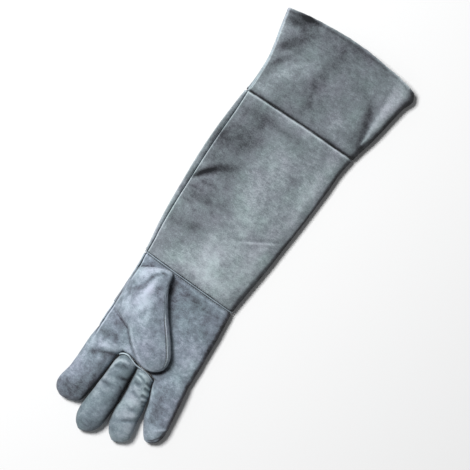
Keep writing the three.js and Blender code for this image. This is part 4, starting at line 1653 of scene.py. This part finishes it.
@dataclass
class NodeTree:
    """A material's node tree, with one call for a node's settings and links."""

    material: bpy.types.Material

    @classmethod
    def empty(cls, name: str) -> "NodeTree":
        """A new material with an empty tree.

        Args:
            name: the material's name.

        Returns:
            The tree, ready for nodes.
        """
        material = bpy.data.materials.new(name)
        material.use_nodes = True
        material.node_tree.nodes.clear()
        return cls(material)

    def add(self, kind: str, props: dict | None = None, **sockets: object) -> bpy.types.Node:
        """Adds a node.

        Args:
            kind: the node's type name.
            props: node properties to set.
            sockets: a value or an output socket for each input, with _ for a space, or i0, i1, i2 by place.

        Returns:
            The node.
        """
        tree = self.material.node_tree
        node = tree.nodes.new(kind)
        for name, value in (props or {}).items():
            setattr(node, name, value)
        for name, value in sockets.items():
            key = int(name[1:]) if name[0] == "i" and name[1:].isdigit() else name.replace("_", " ")
            if isinstance(value, bpy.types.NodeSocket):
                tree.links.new(value, node.inputs[key])
            else:
                node.inputs[key].default_value = value
        return node

    def multiply_add(self, value: object, factor: float, plus: object) -> bpy.types.NodeSocket:
        """value * factor + plus."""
        return self.add("ShaderNodeMath", {"operation": "MULTIPLY_ADD"}, i0=value, i1=factor, i2=plus).outputs[0]

    def noise(self, place: bpy.types.NodeSocket, size_mm: float, detail: float = 3.0) -> bpy.types.NodeSocket:
        """Noise about 0 with lumps of size_mm."""
        node = self.add("ShaderNodeTexNoise", Vector=place, Scale=1000 / size_mm, Detail=detail, Roughness=0.6)
        return self.multiply_add(node.outputs["Fac"], 1.0, -0.5)


@dataclass(frozen=True)
class SplitSuede:
    """Split leather: the flesh layer of a hide, dyed and brushed.

    It gives the eye a dull, cloudy grey with a soft nap, where strokes and wear leave lighter and darker
    clouds 10 to 40 mm across. The nap's fibres are under 0.1 mm, so they are drawn at about 1 mm.
    """

    name: str
    dark: str
    body: str
    light: str
    cloud_mm: float = 38.0
    mottle_mm: float = 8.0
    nap_mm: float = 3.2
    grain_mm: float = 1.3
    drift_mm: float = 31.0
    cloud: float = 0.45
    mottle: float = 0.36
    nap: float = 0.32
    grain: float = 0.55
    deep: str = "#1E2023"
    cool: str = "#FFF9FF"
    green: str = "#F6FFFB"
    roughness: float = 0.95
    sheen: float = 0.1
    bump: float = 0.55
    bump_mm: float = 0.5

    def build(self) -> bpy.types.Material:
        """Makes the material.

        Returns:
            The finished material.
        """
        tree = NodeTree.empty(self.name)
        place = tree.add("ShaderNodeTexCoord").outputs["Object"]
        brushed = tree.add("ShaderNodeMapping", Vector=place, Rotation=(0, 0, -0.6), Scale=(0.4, 1, 1)).outputs[0]
        cloud = tree.noise(place, self.cloud_mm)
        mottle = tree.noise(place, self.mottle_mm, 4.0)
        nap = tree.noise(brushed, self.nap_mm)
        grain = tree.noise(place, self.grain_mm)
        # The tone attribute carries the painted shade and highlights of folds, seams, gaps and flanks, as well as
        # stains and paler and darker patches.
        tone = tree.add("ShaderNodeAttribute", {"attribute_name": "tone"}).outputs["Fac"]
        shade = tree.multiply_add(tone, 0.35, 0.6)
        for noise, share in ((cloud, self.cloud), (mottle, self.mottle), (nap, self.nap), (grain, self.grain)):
            shade = tree.multiply_add(noise, share, shade)
        ramp = tree.add("ShaderNodeValToRGB", Fac=shade)
        stops = ramp.color_ramp.elements
        # The deep stop is reached by painted shade in gaps and grooves and by the darkest stains.
        stops[0].color = linear(self.deep)
        stops[1].color = linear(self.light)
        stops[1].position = 0.95
        stops.new(0.25).color = linear(self.dark)
        stops.new(0.6).color = linear(self.body)
        drift = tree.multiply_add(tree.noise(place, self.drift_mm), 2.2, 0.5)
        tint = tree.add("ShaderNodeMix", {"data_type": "RGBA"}, i0=drift, i6=linear(self.cool), i7=linear(self.green))
        blend = {"operation": "MULTIPLY"}
        colour = tree.add("ShaderNodeVectorMath", blend, i0=ramp.outputs["Color"], i1=tint.outputs[2])
        height = tree.multiply_add(grain, 0.6, mottle)
        bump = tree.add("ShaderNodeBump", Strength=self.bump, Distance=self.bump_mm / 1000, Height=height)
        shader = tree.add(
            "ShaderNodeBsdfPrincipled",
            Base_Color=colour.outputs[0],
            Roughness=self.roughness,
            Specular_IOR_Level=0.15,
            Sheen_Weight=self.sheen,
            Sheen_Roughness=0.6,
            Normal=bump.outputs["Normal"],
        )
        tree.add("ShaderNodeOutputMaterial", Surface=shader.outputs["BSDF"])
        return tree.material


@dataclass(frozen=True)
class CottonThread:
    """Twisted cotton thread, which gives a matt line with a faint slanting twist."""

    name: str = "cotton sewing thread, twisted"
    dark: str = "#6E777E"
    light: str = "#A4ADB3"
    twist_mm: float = 0.7

    def build(self) -> bpy.types.Material:
        """Makes the material.

        Returns:
            The finished material.
        """
        tree = NodeTree.empty(self.name)
        place = tree.add("ShaderNodeTexCoord").outputs["Object"]
        scale = 1000 / self.twist_mm / (2 * math.pi)
        twist = tree.add("ShaderNodeTexWave", {"bands_direction": "DIAGONAL"}, Vector=place, Scale=scale)
        ramp = tree.add("ShaderNodeValToRGB", Fac=twist.outputs["Fac"])
        ramp.color_ramp.elements[0].color = linear(self.dark)
        ramp.color_ramp.elements[1].color = linear(self.light)
        shader = tree.add(
            "ShaderNodeBsdfPrincipled", Base_Color=ramp.outputs["Color"], Roughness=0.85, Sheen_Weight=0.2
        )
        tree.add("ShaderNodeOutputMaterial", Surface=shader.outputs["BSDF"])
        return tree.material


@dataclass(frozen=True)
class FloorPaper:
    """Matt white background paper."""

    name: str = "matt white background paper"
    colour: str = "#F2F2F2"

    def build(self) -> bpy.types.Material:
        """Makes the material.

        Returns:
            The finished material.
        """
        tree = NodeTree.empty(self.name)
        shader = tree.add("ShaderNodeBsdfPrincipled", Base_Color=linear(self.colour), Roughness=0.9)
        tree.add("ShaderNodeOutputMaterial", Surface=shader.outputs["BSDF"])
        return tree.material


# Studio


@dataclass(frozen=True)
class SoftBox:
    """A square lamp that points at the gauntlet."""

    name: str
    azimuth_deg: float
    elevation_deg: float
    distance: float
    size: float
    watts: float

    def build(self) -> None:
        """Adds the lamp."""
        lamp = bpy.data.lights.new(self.name, "AREA")
        lamp.size = self.size
        lamp.energy = self.watts
        light = bpy.data.objects.new(self.name, lamp)
        azimuth, elevation = math.radians(self.azimuth_deg), math.radians(self.elevation_deg)
        flat = self.distance * math.cos(elevation)
        light.location = (flat * math.cos(azimuth), flat * math.sin(azimuth), self.distance * math.sin(elevation))
        light.rotation_euler = (0.5 * math.pi - elevation, 0, azimuth + 0.5 * math.pi)
        bpy.context.scene.collection.objects.link(light)


@dataclass
class Studio:
    """Floor, soft light and the camera that looks straight down."""

    view_centre_mm: tuple[float, float] = (6.3, 14.4)
    view_width_mm: float = 599.5
    turn_deg: float = 34.0
    camera_height: float = 2.4
    focal_mm: float = 144.0
    sky: float = 0.16
    sky_colour: tuple[float, ...] = (0.97, 0.985, 1.0, 1)
    floor_half_mm: float = 3000.0
    lamps: tuple[SoftBox, ...] = (SoftBox("key", 169, 60, 3.0, 0.9, 103),)

    def build(self) -> None:
        """Adds the camera, the lamps, the sky and the floor."""
        lens = bpy.data.cameras.new("camera")
        lens.sensor_width = self.view_width_mm * self.focal_mm / (self.camera_height * 1000)
        lens.lens = self.focal_mm
        lens.clip_end = 20
        camera = bpy.data.objects.new("camera", lens)
        x, y = (v / 1000 for v in self.view_centre_mm)
        camera.location = (x, y, self.camera_height + 0.015)
        camera.rotation_euler = (0, 0, math.radians(self.turn_deg))
        bpy.context.scene.collection.objects.link(camera)
        bpy.context.scene.camera = camera
        for lamp in self.lamps:
            lamp.build()
        world = bpy.data.worlds.new("sky")
        world.use_nodes = True
        background = world.node_tree.nodes["Background"].inputs
        background["Color"].default_value = self.sky_colour
        background["Strength"].default_value = self.sky
        bpy.context.scene.world = world
        bpy.context.scene.view_settings.view_transform = "Standard"
        self._floor()

    def _floor(self) -> None:
        """Adds the pale floor."""
        skin = Skin()
        edge = self.floor_half_mm
        corners = np.array([[-edge, -edge, 0], [edge, -edge, 0], [edge, edge, 0], [-edge, edge, 0]])
        skin.add(corners + [FRAME.x, FRAME.y, 0], np.array([[0, 1, 2, 3]]))
        skin.to_object("floor", FloorPaper().build())


def place(piece: bpy.types.Object, slot: Slot, *nodes: str) -> None:
    """Ties a piece to the frame: its body and the nodes it stands for.

    Args:
        piece: the object.
        slot: not used.
        nodes: the nodes it stands for.
    """
    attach(piece, "root")
    if nodes:
        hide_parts(*nodes)
    log.info("%s: %d faces", piece.name, len(piece.data.polygons))


@dataclass
class Gauntlet:
    """The whole gauntlet, piece by piece."""

    arm_suede: SplitSuede = SplitSuede("split suede leather, dyed grey and brushed", "#4A4D52", "#7C8489", "#B6C0C5")
    hand_suede: SplitSuede = SplitSuede(
        "split suede leather, bluish grey dye", "#4F5159", "#828D98", "#B8C2CF", mottle=0.7
    )
    finger_suede: SplitSuede = SplitSuede(
        "split leather, smoother side, grey-green dye", "#474F56", "#76838B", "#AEBAC1",
        mottle=0.45, grain=0.4, bump=0.3,
    )
    welt_suede: SplitSuede = SplitSuede("split leather welt, folded strip", "#5A646C", "#8E9AA3", "#C6D2DA")
    thread: CottonThread = CottonThread()

    def build(self) -> None:
        """Builds and places every piece."""
        finishes = (self.arm_suede, self.hand_suede, self.finger_suede, self.welt_suede, self.thread)
        arm, hand, finger, welt, thread = (finish.build() for finish in finishes)
        cuff = LeatherTube("cuff_leather", CUFF, CUFF_MARKS, Relief(1, slack=0.6), 82.15, 198.0, True)
        sleeve = LeatherTube("sleeve_leather", SLEEVE, SLEEVE_MARKS, Relief(2), -162.8, 81.85, False)
        middle = Finger("middle_finger_leather", MIDDLE, -288.2, MIDDLE_MARKS, Relief(7, 0.45, 0.2, 0.5))
        ring = Finger("ring_finger_leather", RING, -288.2, RING_MARKS, Relief(8, 0.6, 0.42, 0.7))
        thumb, piping, stitching = Thumb(), Piping(), Stitching()
        place(cuff.build(arm), Slot.LEATHER, "cuff_flare")
        place(sleeve.build(arm), Slot.LEATHER, "forearm_sleeve")
        place(Hand().build(hand), Slot.LEATHER, "hand_shell")
        place(middle.build(finger), Slot.FINGER, "middle_finger")
        place(ring.build(finger), Slot.FINGER, "ring_finger")
        place(thumb.build(hand), Slot.LEATHER, "thumb")
        place(piping.side(welt), Slot.WELT, "side_welt")
        place(piping.wrist(welt), Slot.WELT, "wrist_welt")
        place(piping.knuckle(welt), Slot.WELT, "knuckle_welt")
        place(piping.thumb(thumb, welt), Slot.WELT, "thumb_welt")
        place(stitching.thumb(thumb, thread), Slot.WELT)
        place(stitching.wrist(thread), Slot.WELT)


def main() -> None:
    """Builds the gauntlet, the light and the camera."""
    logging.basicConfig(level=logging.INFO, format="%(name)s: %(message)s")
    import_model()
    Studio().build()
    Gauntlet().build()


if __name__ == "__main__":
    main()
